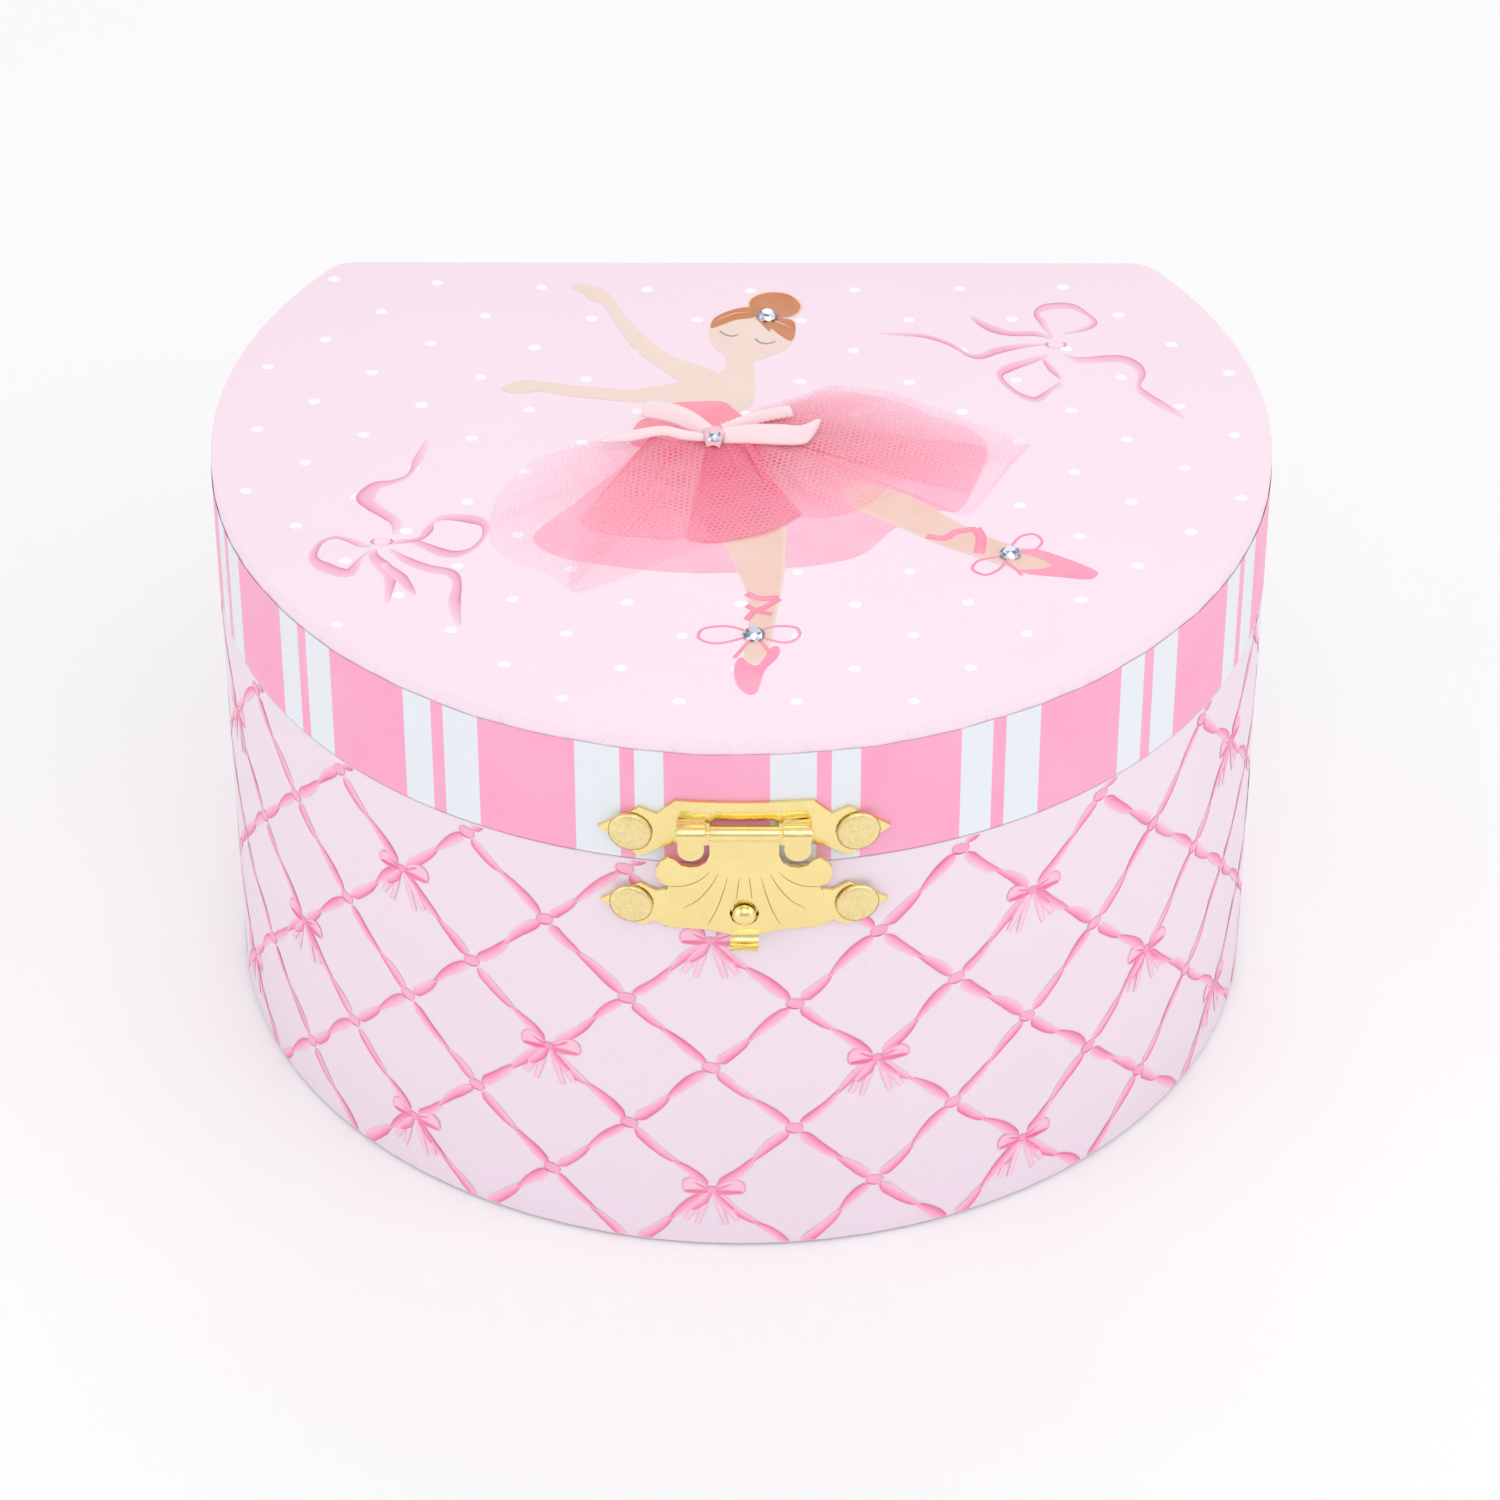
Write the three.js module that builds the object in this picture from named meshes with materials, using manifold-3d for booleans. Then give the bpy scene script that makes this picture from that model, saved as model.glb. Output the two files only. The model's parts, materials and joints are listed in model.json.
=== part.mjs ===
// A musical jewellery box with a round front and a flat back. The card lid swings on a cloth strip at the back
// and is held shut by a pressed brass hasp. Inside are two bins, a tray of ring rolls and a stage. A wind-up comb
// movement under the stage turns a small dancer, who leans forward while the lid is shut and stands as it opens.
// Millimetres, +Z up, -Y is the front. Pieces are drawn about the centre of the round plan, on the underside.
import * as THREE from "three";
import { mergeVertices } from "three/addons/utils/BufferGeometryUtils.js";
import Module from "manifold-3d";

// ---- driving dimensions -------------------------------------------------------------------------------------
const PLAN_RADIUS = 80; // the round front
const BACK_Y = 48; // the flat back
const CORNER_RADIUS = 5;
const TOTAL_HEIGHT = 94;
const SEAM_Z = 72; // where the lid meets the case
const SEAM_GAP = 0.2;
const BOARD = 3; // wall and lid board
const THIN_BOARD = 2; // dividers and stage
const LINING = 1.2;
const FIT = 0.2; // gap between glued boards
const COLLAR_RISE = 4; // the lining stands above the case wall and locates the lid

const SHEET_TOP = 0.5; // paper sheet under the base
const FLOOR_Z = SHEET_TOP + BOARD; // top of the base board
const INNER_INSET = BOARD + FIT + LINING; // outer face to the inside of the lining
const INNER_BACK_Y = BACK_Y - INNER_INSET;

const DECK_TOP = 46;
const DECK_BOTTOM = DECK_TOP - THIN_BOARD;
const STAGE_FRONT_Y = -4;
const STAGE_HALF = 35; // the dividers' outer faces
const DIVIDER_INNER = STAGE_HALF - THIN_BOARD;

const RING_FLOOR_TOP = 24;
const RING_ROLLS = 4;
const RING_ROLL_RADIUS = 6.2;
const RING_ROLL_PITCH = 13.2;

// the movement
const KEY_Z = 14;
const SPINDLE_Y = 28.6;
const BEDPLATE_FACE_Y = INNER_BACK_Y - 0.1;
const BEDPLATE_THICK = 2.2;
const BARREL_RADIUS = 9;
const CROWN_TEETH = 30;
const CROWN_RADIUS = 8.2;
const PINION_TEETH = 10;
const CYLINDER_WHEEL_TEETH = 40;
const GOVERNOR_PINION_TEETH = 10;
const GOVERNOR_WHEEL_TEETH = 24;
const FLY_PINION_TEETH = 8;
const TRAIN_MODULE = 0.48;
const FLY_MODULE = 0.4;
const LOWER_PLATE_Z = 23.7;
const UPPER_PLATE_Z = 39.2;
const BEARING_PLATE_THICK = 1.2;
const CYLINDER_RADIUS = 6;
const CYLINDER_BOTTOM = 27;
const CYLINDER_TOP = 38.6;
const COMB_TEETH = 18;

// the dancer
const PIVOT_Z = 53; // middle of the spring's bend
const LEAN = THREE.MathUtils.degToRad(62); // forward, with the lid shut
const SPRING_RADIUS = 2.2;
const SPRING_WIRE = 0.3;
const SPRING_COILS = 7;
const SPRING_REACH = 4.45; // from the pivot to each end of the bend

// the latch
const LATCH_X = 0.7;
const PLATE_IN = 80.12; // plates are bent to the round front
const PLATE_OUT = 80.7;
const PIN_Z = 79.3;
const PIN_Y = -82.15;
const PIN_RADIUS = 0.5;
const HASP_INNER_Y = -81.2;
const HASP_THICK = 0.65;
const RIVET_OFFSET = 16; // either side of the latch's middle, along the curve
const UPPER_RIVET_Z = 77.6;
const LOWER_RIVET_Z = 64.8;
const CATCH_Z = 64.8;

// the lid
const LID_TOP_BOTTOM = TOTAL_HEIGHT - BOARD;
const CEILING_Z = LID_TOP_BOTTOM - LINING;
const PLUNGER_X = 22;
const PLUNGER_Y = 21;
const PLUNGER_TOP = 84;
const PLUNGER_BOTTOM = 36.5; // beside the governor's blades; it rises clear of them as the lid opens

// ---- materials ----------------------------------------------------------------------------------------------
function material(color, roughness, metalness) {
  return new THREE.MeshStandardMaterial({ color, roughness, metalness });
}
const MATERIALS = {
  wrap: material(0xeedaeb, 0.55, 0),
  stripe: material(0xf9a8c6, 0.5, 0),
  lidPaper: material(0xfbe2f0, 0.5, 0),
  liningPaper: material(0xf7c6da, 0.6, 0),
  velvet: material(0xf2a9c4, 0.9, 0),
  board: material(0xd9cfc4, 0.9, 0),
  cloth: material(0xf3c9dc, 0.8, 0),
  brass: material(0xe8c45a, 0.22, 1),
  steel: material(0xb8bcc2, 0.3, 1),
  zinc: material(0x9fa3a8, 0.45, 1),
  mirror: material(0xe4ebee, 0.03, 1),
  tulle: material(0xfb8fab, 0.8, 0),
  satin: material(0xfbd9dd, 0.35, 0),
  gem: material(0xe3eef5, 0.05, 0.1),
  skin: material(0xf3d2bb, 0.5, 0),
  plastic: material(0xf7f2f2, 0.35, 0),
};

// ---- solids -------------------------------------------------------------------------------------------------
const wasm = await Module();
wasm.setup();
const MERGE_TOLERANCE = 1e-3;

function toSolid(geometry) {
  const bare = geometry.clone();
  bare.deleteAttribute("normal");
  bare.deleteAttribute("uv");
  const merged = mergeVertices(bare, MERGE_TOLERANCE);
  return new wasm.Manifold(
    new wasm.Mesh({
      numProp: 3,
      vertProperties: merged.attributes.position.array,
      triVerts: new Uint32Array(merged.index.array),
    }),
  );
}

function toGeometry(solid) {
  const mesh = solid.getMesh();
  const geometry = new THREE.BufferGeometry();
  geometry.setAttribute("position", new THREE.BufferAttribute(mesh.vertProperties.slice(), 3));
  geometry.setIndex(new THREE.BufferAttribute(mesh.triVerts.slice(), 1));
  geometry.computeVertexNormals();
  return geometry;
}

function join(...geometries) {
  return toGeometry(geometries.map(toSolid).reduce((whole, next) => whole.add(next)));
}

function cut(geometry, ...cutters) {
  return toGeometry(cutters.map(toSolid).reduce((left, next) => left.subtract(next), toSolid(geometry)));
}

function common(geometry, other) {
  return toGeometry(toSolid(geometry).intersect(toSolid(other)));
}

// ---- shapes and basic bodies --------------------------------------------------------------------------------
const PLAN_STEPS = 54;
const CORNER_STEPS = 3;

function arcPoints(x, y, radius, from, to, steps) {
  return Array.from({ length: steps + 1 }, (_, i) => {
    const angle = from + ((to - from) * i) / steps;
    return new THREE.Vector2(x + radius * Math.cos(angle), y + radius * Math.sin(angle));
  });
}

// The plan of the box, inset from its outer face: a circle cut by the flat back, with rounded corners.
function planPoints(inset) {
  const radius = PLAN_RADIUS - inset;
  const corner = Math.max(CORNER_RADIUS - inset, 0.8);
  const y = BACK_Y - inset - corner;
  const x = Math.sqrt((radius - corner) ** 2 - y ** 2);
  const turn = Math.atan2(y, x);
  return [
    ...arcPoints(0, 0, radius, Math.PI - turn, 2 * Math.PI + turn, PLAN_STEPS),
    ...arcPoints(x, y, corner, turn, Math.PI / 2, CORNER_STEPS).slice(1),
    ...arcPoints(-x, y, corner, Math.PI / 2, Math.PI - turn, CORNER_STEPS).slice(0, -1),
  ];
}

function extrude(points, bottom, top, holes = []) {
  const shape = new THREE.Shape(points);
  holes.forEach((hole) => shape.holes.push(new THREE.Path(hole)));
  const geometry = new THREE.ExtrudeGeometry(shape, { depth: top - bottom, bevelEnabled: false });
  return geometry.translate(0, 0, bottom);
}

function planSlab(inset, bottom, top) {
  return extrude(planPoints(inset), bottom, top);
}

function planRing(outerInset, innerInset, bottom, top) {
  return extrude(planPoints(outerInset), bottom, top, [planPoints(innerInset)]);
}

function box(x0, x1, y0, y1, z0, z1) {
  const geometry = new THREE.BoxGeometry(x1 - x0, y1 - y0, z1 - z0);
  return geometry.translate((x0 + x1) / 2, (y0 + y1) / 2, (z0 + z1) / 2);
}

function rodZ(x, y, radius, z0, z1, sides = 16) {
  const geometry = new THREE.CylinderGeometry(radius, radius, z1 - z0, sides);
  return geometry.rotateX(Math.PI / 2).translate(x, y, (z0 + z1) / 2);
}

function rodY(x, z, radius, y0, y1, sides = 16) {
  return new THREE.CylinderGeometry(radius, radius, y1 - y0, sides).translate(x, (y0 + y1) / 2, z);
}

function rodX(y, z, radius, x0, x1, sides = 16) {
  const geometry = new THREE.CylinderGeometry(radius, radius, x1 - x0, sides);
  return geometry.rotateZ(Math.PI / 2).translate((x0 + x1) / 2, y, z);
}

// A profile of [radius, height] turned about +Z.
function turned(profile, sides) {
  const points = profile.map(([radius, height]) => new THREE.Vector2(radius, height));
  return new THREE.LatheGeometry(points, sides).rotateX(Math.PI / 2);
}

// A shape drawn in X and Z, with its thickness running back from frontY.
function upright(points, frontY, thickness, holes = []) {
  return extrude(points, 0, thickness, holes)
    .rotateX(Math.PI / 2)
    .translate(0, frontY + thickness, 0);
}

function tube(curve, radius, steps, sides) {
  const section = new THREE.Shape(arcPoints(0, 0, radius, 0, 2 * Math.PI, sides).slice(0, -1));
  return new THREE.ExtrudeGeometry(section, { steps, bevelEnabled: false, extrudePath: curve });
}

function curveThrough(points) {
  return new THREE.CatmullRomCurve3(points.map((p) => new THREE.Vector3(...p)));
}

function vectors(pairs) {
  return pairs.map(([x, y]) => new THREE.Vector2(x, y));
}

function mirrored(pairs) {
  const right = vectors(pairs);
  const left = vectors(pairs.map(([x, y]) => [-x, y]).reverse());
  return [...right, ...left];
}

const box3d = new THREE.Group();
function add(name, geometry, finish) {
  const mesh = new THREE.Mesh(geometry, finish);
  mesh.name = name;
  box3d.add(mesh);
  return mesh;
}

// A hole or rivet axis that runs straight in towards the plan's centre, at an offset along the round front.
function ontoFront(geometry, offset, z) {
  const angle = (LATCH_X + offset) / PLAN_RADIUS;
  return geometry.rotateX(Math.PI / 2).rotateZ(angle).translate(0, 0, z);
}

// ---- the case -----------------------------------------------------------------------------------------------
const RIVET_SHANK = 1;
const RIVET_HOLE = 1.3;
const KEY_HOLE = 4.4;
const SCREW_X = 17;
const SCREW_RADIUS = 1.1;
const SCREW_CLEARANCE = 0.3;

function rivetHoles(z) {
  return [-RIVET_OFFSET, RIVET_OFFSET].map((offset) =>
    ontoFront(turned([[0, 70], [RIVET_HOLE, 70], [RIVET_HOLE, 90], [0, 90]], 12), offset, z),
  );
}

function backHoles() {
  const screws = [-SCREW_X, SCREW_X].map((x) => rodY(x, KEY_Z, SCREW_RADIUS + SCREW_CLEARANCE, 40, 60, 12));
  return [rodY(0, KEY_Z, KEY_HOLE, 40, 60, 24), ...screws];
}

function buildCase() {
  add("base_cover_sheet", planSlab(2, 0, SHEET_TOP), MATERIALS.liningPaper);
  add("base_panel", planSlab(BOARD + FIT, SHEET_TOP, FLOOR_Z), MATERIALS.board);
  const wall = planRing(0, BOARD, SHEET_TOP, SEAM_Z);
  add("case_wall", cut(wall, ...backHoles(), ...rivetHoles(LOWER_RIVET_Z)), MATERIALS.wrap);
  const lining = planRing(BOARD + FIT, INNER_INSET, FLOOR_Z, SEAM_Z + COLLAR_RISE);
  add("case_lining", cut(lining, ...backHoles()), MATERIALS.liningPaper);
}

// ---- what divides the inside --------------------------------------------------------------------------------
const BOARD_CLEARANCE = 0.3; // a board's ends to the lining
const ROUND_EDGE = PLAN_RADIUS - INNER_INSET - BOARD_CLEARANCE;
const FLOOR_PAD = 1;

function frontEdgeY(x) {
  return -Math.sqrt(ROUND_EDGE ** 2 - x ** 2);
}

function clippedToPlan(geometry, bottom, top) {
  return common(geometry, planSlab(INNER_INSET + BOARD_CLEARANCE, bottom, top));
}

function buildInterior() {
  const backEnd = INNER_BACK_Y - BOARD_CLEARANCE;
  for (const [side, sign] of [["left", -1], ["right", 1]]) {
    const [x0, x1] = [DIVIDER_INNER * sign, STAGE_HALF * sign].sort((a, b) => a - b);
    const divider = box(x0, x1, frontEdgeY(STAGE_HALF), backEnd, FLOOR_Z, DECK_BOTTOM);
    add(`divider_${side}`, divider, MATERIALS.liningPaper);
    const [p0, p1] = [(STAGE_HALF + BOARD_CLEARANCE) * sign, PLAN_RADIUS * sign].sort((a, b) => a - b);
    const padTop = FLOOR_Z + FLOOR_PAD;
    const pad = clippedToPlan(box(p0, p1, -80, 60, FLOOR_Z, padTop), FLOOR_Z, padTop);
    add(`bin_pad_${side}`, pad, MATERIALS.velvet);
  }
  const inner = DIVIDER_INNER - FIT;
  const frontBoard = box(-inner, inner, STAGE_FRONT_Y, STAGE_FRONT_Y + THIN_BOARD, FLOOR_Z, DECK_BOTTOM);
  add("stage_front_board", frontBoard, MATERIALS.liningPaper);
  const deckBoard = box(-STAGE_HALF, STAGE_HALF, STAGE_FRONT_Y, backEnd, DECK_BOTTOM, DECK_TOP);
  const deckHoles = [
    rodZ(0, SPINDLE_Y, 4, DECK_BOTTOM - 1, DECK_TOP + 1, 24),
    rodZ(PLUNGER_X, PLUNGER_Y, 1.3, DECK_BOTTOM - 1, DECK_TOP + 1, 12),
  ];
  add("stage_deck", cut(deckBoard, ...deckHoles), MATERIALS.liningPaper);
  const bush = [[1.5, -2.4], [3.7, -2.4], [3.7, 0], [6.5, 0], [6.2, 0.9], [4, 1.2], [1.5, 1.2], [1.5, -2.4]];
  add("deck_bush", turned(bush, 24).translate(0, SPINDLE_Y, DECK_TOP), MATERIALS.plastic);

  const trayFloor = box(-inner, inner, -80, STAGE_FRONT_Y - FIT, RING_FLOOR_TOP - THIN_BOARD, RING_FLOOR_TOP);
  const clippedFloor = clippedToPlan(trayFloor, RING_FLOOR_TOP - THIN_BOARD, RING_FLOOR_TOP);
  add("ring_tray_floor", clippedFloor, MATERIALS.liningPaper);
  for (let i = 0; i < RING_ROLLS; i += 1) {
    const y = STAGE_FRONT_Y - 1.2 - RING_ROLL_RADIUS - i * RING_ROLL_PITCH;
    const roll = rodX(0, 0, RING_ROLL_RADIUS, -inner + 0.3, inner - 0.3, 16);
    roll.scale(1, 1, 1.25).translate(0, y, RING_FLOOR_TOP + RING_ROLL_RADIUS * 1.25 + 0.05);
    add(`ring_roll_${i + 1}`, roll, MATERIALS.velvet);
  }
}

// ---- the movement -------------------------------------------------------------------------------------------
const GOVERNOR_ANGLE = THREE.MathUtils.degToRad(-40);
const pitchRadius = (teeth, size) => (teeth * size) / 2;
const governorDistance =
  pitchRadius(CYLINDER_WHEEL_TEETH, TRAIN_MODULE) + pitchRadius(GOVERNOR_PINION_TEETH, TRAIN_MODULE) + 0.08;
const GOVERNOR_X = governorDistance * Math.cos(GOVERNOR_ANGLE);
const GOVERNOR_Y = SPINDLE_Y + governorDistance * Math.sin(GOVERNOR_ANGLE);
const FLY_X =
  GOVERNOR_X + pitchRadius(GOVERNOR_WHEEL_TEETH, FLY_MODULE) + pitchRadius(FLY_PINION_TEETH, FLY_MODULE) + 0.08;
const TOOTH_TIP = 0.75; // of a module, beyond the pitch circle
const TOOTH_ROOT = 1.15;

// Straight-sided teeth with room to run. thickness is the tooth's share of the pitch at the pitch circle.
function gearPoints(teeth, size, phase = 0, thickness = 0.38) {
  const radius = pitchRadius(teeth, size);
  const [root, tip] = [radius - TOOTH_ROOT * size, radius + TOOTH_TIP * size];
  const step = (2 * Math.PI) / teeth;
  const corners = [
    [root, -thickness * 0.72],
    [tip, -thickness * 0.26],
    [tip, thickness * 0.26],
    [root, thickness * 0.72],
  ];
  const points = [];
  for (let i = 0; i < teeth; i += 1) {
    for (const [r, share] of corners) {
      const angle = phase + (i + share) * step;
      points.push(new THREE.Vector2(r * Math.cos(angle), r * Math.sin(angle)));
    }
  }
  return points;
}

function bedplate() {
  const arms = [LOWER_PLATE_Z, UPPER_PLATE_Z].map((z) =>
    box(-13, 20, 15.5, BEDPLATE_FACE_Y - 0.5, z, z + BEARING_PLATE_THICK),
  );
  const back = box(-24, 24, BEDPLATE_FACE_Y - BEDPLATE_THICK, BEDPLATE_FACE_Y, 5, 40.4);
  const combBlock = box(-24, -14.5, SPINDLE_Y + 0.55, BEDPLATE_FACE_Y - 0.5, 26, 39);
  const bearings = [
    [0, SPINDLE_Y, 1.35],
    [GOVERNOR_X, GOVERNOR_Y, 0.75],
    [FLY_X, GOVERNOR_Y, 0.75],
  ].map(([x, y, radius]) => rodZ(x, y, radius, LOWER_PLATE_Z - 2, UPPER_PLATE_Z + 3, 16));
  const arbor = rodY(0, KEY_Z, 1.9, 30, 60, 16);
  const screws = [-SCREW_X, SCREW_X].map((x) => rodY(x, KEY_Z, SCREW_RADIUS + 0.1, 30, 60, 12));
  const combScrews = COMB_SCREW_Z.map((z) => rodY(COMB_SCREW_X, z, 0.85, 20, 36, 12));
  return cut(join(back, ...arms, combBlock), ...bearings, arbor, ...screws, ...combScrews);
}

const COMB_SCREW_X = -19.5;
const COMB_SCREW_Z = [29, 36];
const COMB_TIP_X = -CYLINDER_RADIUS - 0.5;
const COMB_BACK_X = -23.5;
const COMB_THICK = 1;

function comb() {
  const [low, high] = [27.2, 38.2];
  const pitch = (high - low) / COMB_TEETH;
  const slot = 0.22;
  const points = vectors([[COMB_BACK_X, low]]);
  for (let i = 0; i < COMB_TEETH; i += 1) {
    const root = COMB_TIP_X - 3.2 - (4.2 * i) / COMB_TEETH; // the bass teeth are longer
    const z = low + i * pitch;
    points.push(...vectors([[root, z], [COMB_TIP_X, z], [COMB_TIP_X, z + pitch - slot], [root, z + pitch - slot]]));
  }
  points.push(...vectors([[COMB_BACK_X, high]]));
  const plate = upright(points, SPINDLE_Y - 0.5, COMB_THICK);
  return cut(plate, ...COMB_SCREW_Z.map((z) => rodY(COMB_SCREW_X, z, 1, 20, 36, 12)));
}

function barrel() {
  const [front, back] = [34.2, BEDPLATE_FACE_Y - BEDPLATE_THICK - 0.05];
  const profile = [[1.9, 0], [9, 0], [9, back - front], [8.3, back - front], [8.3, 0.8], [1.9, 0.8], [1.9, 0]];
  return turned(profile, 32).rotateX(-Math.PI / 2).translate(0, front, KEY_Z);
}

// A flat strip coiled from the arbor out to the barrel's wall.
function mainspring() {
  const [turns, stepsPerTurn, inner, outer, thickness] = [5, 18, 2.3, 8, 0.35];
  const outline = [];
  const total = turns * stepsPerTurn;
  for (const side of [0, 1]) {
    for (let i = 0; i <= total; i += 1) {
      const k = side ? total - i : i;
      const radius = inner + ((outer - thickness - inner) * k) / total + side * thickness;
      const angle = (2 * Math.PI * k) / stepsPerTurn;
      outline.push(new THREE.Vector2(radius * Math.cos(angle), radius * Math.sin(angle)));
    }
  }
  return upright(outline, 35.2, 5.4).translate(0, 0, KEY_Z);
}

const CROWN_FACE_Y = 32.1;
const CROWN_TIP_Y = 30.95;
const CROWN_BACK_Y = 33.8;

// A wheel on the winding arbor, with teeth that stand off its face and drive the cylinder's pinion at a right angle.
function crownWheel() {
  const rim = turned([[1.65, 0], [9.3, 0], [9.3, CROWN_BACK_Y - CROWN_FACE_Y], [1.65, CROWN_BACK_Y - CROWN_FACE_Y],
    [1.65, 0]], 36)
    .rotateX(-Math.PI / 2)
    .translate(0, CROWN_FACE_Y, 0);
  const teeth = Array.from({ length: CROWN_TEETH }, (_, i) => {
    const tooth = box(-0.26, 0.26, CROWN_TIP_Y, CROWN_FACE_Y + 0.2, CROWN_RADIUS - 1.1, CROWN_RADIUS + 1);
    return tooth.rotateY((2 * Math.PI * (i + 0.5)) / CROWN_TEETH);
  });
  return join(rim, ...teeth).translate(0, 0, KEY_Z);
}

function windingKey() {
  const [hubBack, bowBack] = [BACK_Y + 1.2, BACK_Y + 19];
  const hub = cut(rodY(0, 0, 2.7, hubBack, BACK_Y + 10, 16), rodY(0, 0, 1.65, hubBack - 1, BACK_Y + 7, 16));
  const half = [[0, 8.6], [3.4, 8], [6.6, 6.4], [9.6, 7.2], [10.8, 10], [10.4, 14], [8, 17.6], [4.4, 18.8], [0, 19]];
  const outline = mirrored(half.slice(1, -1)).map((p) => new THREE.Vector2(p.x, p.y + BACK_Y));
  const eyes = [-6, 6].map((x) => arcPoints(x, BACK_Y + 12.4, 2.6, 0, 2 * Math.PI, 16).slice(0, -1));
  const bow = extrude(outline, -0.8, 0.8, eyes);
  return join(hub, bow).translate(0, 0, KEY_Z);
}

function cylinderArbor() {
  const rod = rodZ(0, 0, 1.2, 20.6, 50.2, 16);
  const springSeat = rodZ(0, 0, 2.4, 47.5, 48.1, 16);
  const pinion = extrude(gearPoints(PINION_TEETH, PINION_MODULE, Math.PI / 2, 0.36), 20.9, 23.4);
  const wheel = extrude(gearPoints(CYLINDER_WHEEL_TEETH, TRAIN_MODULE, GOVERNOR_ANGLE), 25.2, 26.6);
  return join(rod, springSeat, pinion, wheel).translate(0, SPINDLE_Y, 0);
}
const PINION_MODULE = (2 * CROWN_RADIUS) / CROWN_TEETH;

// The drum is turned with small pins that pluck the comb.
function pinCylinder() {
  const [bore, length] = [1.25, CYLINDER_TOP - CYLINDER_BOTTOM];
  const drum = turned([[bore, 0], [CYLINDER_RADIUS, 0], [CYLINDER_RADIUS, length], [bore, length], [bore, 0]], 32);
  const pins = [];
  const pinPitch = (38.2 - 27.2) / COMB_TEETH;
  for (let i = 0; i < COMB_TEETH * 2; i += 1) {
    const pin = box(CYLINDER_RADIUS - 0.3, CYLINDER_RADIUS + 0.3, -0.12, 0.12, -0.12, 0.12);
    const height = 27.2 - CYLINDER_BOTTOM + pinPitch * ((i % COMB_TEETH) + 0.4);
    pins.push(pin.rotateZ(i * 2.39996).translate(0, 0, height)); // the golden angle spreads them like a tune
  }
  return join(drum, ...pins).translate(0, SPINDLE_Y, CYLINDER_BOTTOM);
}

function governorArbor() {
  const rod = rodZ(0, 0, 0.6, LOWER_PLATE_Z + 0.1, UPPER_PLATE_Z + 1.1, 12);
  const halfTooth = Math.PI / GOVERNOR_PINION_TEETH;
  const pinion = extrude(
    gearPoints(GOVERNOR_PINION_TEETH, TRAIN_MODULE, GOVERNOR_ANGLE + Math.PI + halfTooth), 25.1, 26.8);
  const wheel = extrude(gearPoints(GOVERNOR_WHEEL_TEETH, FLY_MODULE, 0), 31, 32.2);
  return join(rod, pinion, wheel).translate(GOVERNOR_X, GOVERNOR_Y, 0);
}

function governorFly() {
  const rod = rodZ(0, 0, 0.6, LOWER_PLATE_Z + 0.1, UPPER_PLATE_Z + 1.1, 12);
  const pinion = extrude(gearPoints(FLY_PINION_TEETH, FLY_MODULE, Math.PI + Math.PI / FLY_PINION_TEETH), 30.8, 32.4);
  const blades = box(-4.8, 4.8, -0.25, 0.25, 33.2, 38);
  return join(rod, pinion, blades).translate(FLY_X, GOVERNOR_Y, 0);
}

function screwAlongY(x, z, headY, tipY, headRadius, shankRadius, headThick) {
  const direction = Math.sign(tipY - headY);
  const head = rodY(x, z, headRadius, Math.min(headY, headY - direction * headThick),
    Math.max(headY, headY - direction * headThick), 16);
  const shank = rodY(x, z, shankRadius, Math.min(headY - direction * 0.2, tipY), Math.max(headY - direction * 0.2, tipY), 12);
  const y = headY - direction * headThick;
  const slot = box(x - headRadius, x + headRadius, y - 0.4, y + 0.4, z - 0.25, z + 0.25);
  return cut(join(head, shank), slot);
}

function stopPlunger() {
  const rod = rodZ(PLUNGER_X, PLUNGER_Y, 0.9, PLUNGER_BOTTOM, PLUNGER_TOP - 1.4, 12);
  const button = turned([[0, 0], [1.9, 0], [1.9, 1], [1.4, 1.4], [0, 1.4]], 16);
  return join(rod, button.translate(PLUNGER_X, PLUNGER_Y, PLUNGER_TOP - 1.4));
}

function buildMovement() {
  add("movement_bedplate", bedplate(), MATERIALS.zinc);
  add("spring_barrel", barrel(), MATERIALS.brass);
  add("mainspring", mainspring(), MATERIALS.steel);
  add("comb", comb(), MATERIALS.steel);
  COMB_SCREW_Z.forEach((z, i) => {
    const screw = screwAlongY(COMB_SCREW_X, z, SPINDLE_Y - 0.6, SPINDLE_Y + 4.5, 1.5, 0.75, 0.8);
    add(`comb_screw_${i + 1}`, screw, MATERIALS.brass);
  });
  const eyelet = [[2.2, -2.8], [4.2, -2.8], [4.2, 0.05], [6, 0.05], [5.7, 0.7], [4.6, 0.95], [2.2, 0.9], [2.2, -2.8]];
  add("key_eyelet", turned(eyelet, 28).rotateX(-Math.PI / 2).translate(0, BACK_Y, KEY_Z), MATERIALS.brass);
  [-SCREW_X, SCREW_X].forEach((x, i) => {
    const screw = screwAlongY(x, KEY_Z, BACK_Y + 0.05, BEDPLATE_FACE_Y - BEDPLATE_THICK, 2.4, SCREW_RADIUS, 1);
    add(`movement_screw_${i + 1}`, screw, MATERIALS.brass);
  });
  add("winding_arbor", rodY(0, KEY_Z, 1.6, CROWN_FACE_Y - 0.4, BACK_Y + 6.8, 16), MATERIALS.steel);
  add("drive_wheel", crownWheel(), MATERIALS.brass);
  add("winding_key", windingKey(), MATERIALS.brass);
  add("cylinder_arbor", cylinderArbor(), MATERIALS.brass);
  add("pin_cylinder", pinCylinder(), MATERIALS.brass);
  add("governor_arbor", governorArbor(), MATERIALS.brass);
  add("governor_fly", governorFly(), MATERIALS.plastic);
  add("stop_plunger", stopPlunger(), MATERIALS.steel);
}

// ---- the dancer, modelled upright about her own axis and then leaned ---------------------------------------------
function leaned(geometry) {
  return geometry.rotateX(LEAN).translate(0, SPINDLE_Y, PIVOT_Z);
}

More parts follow.
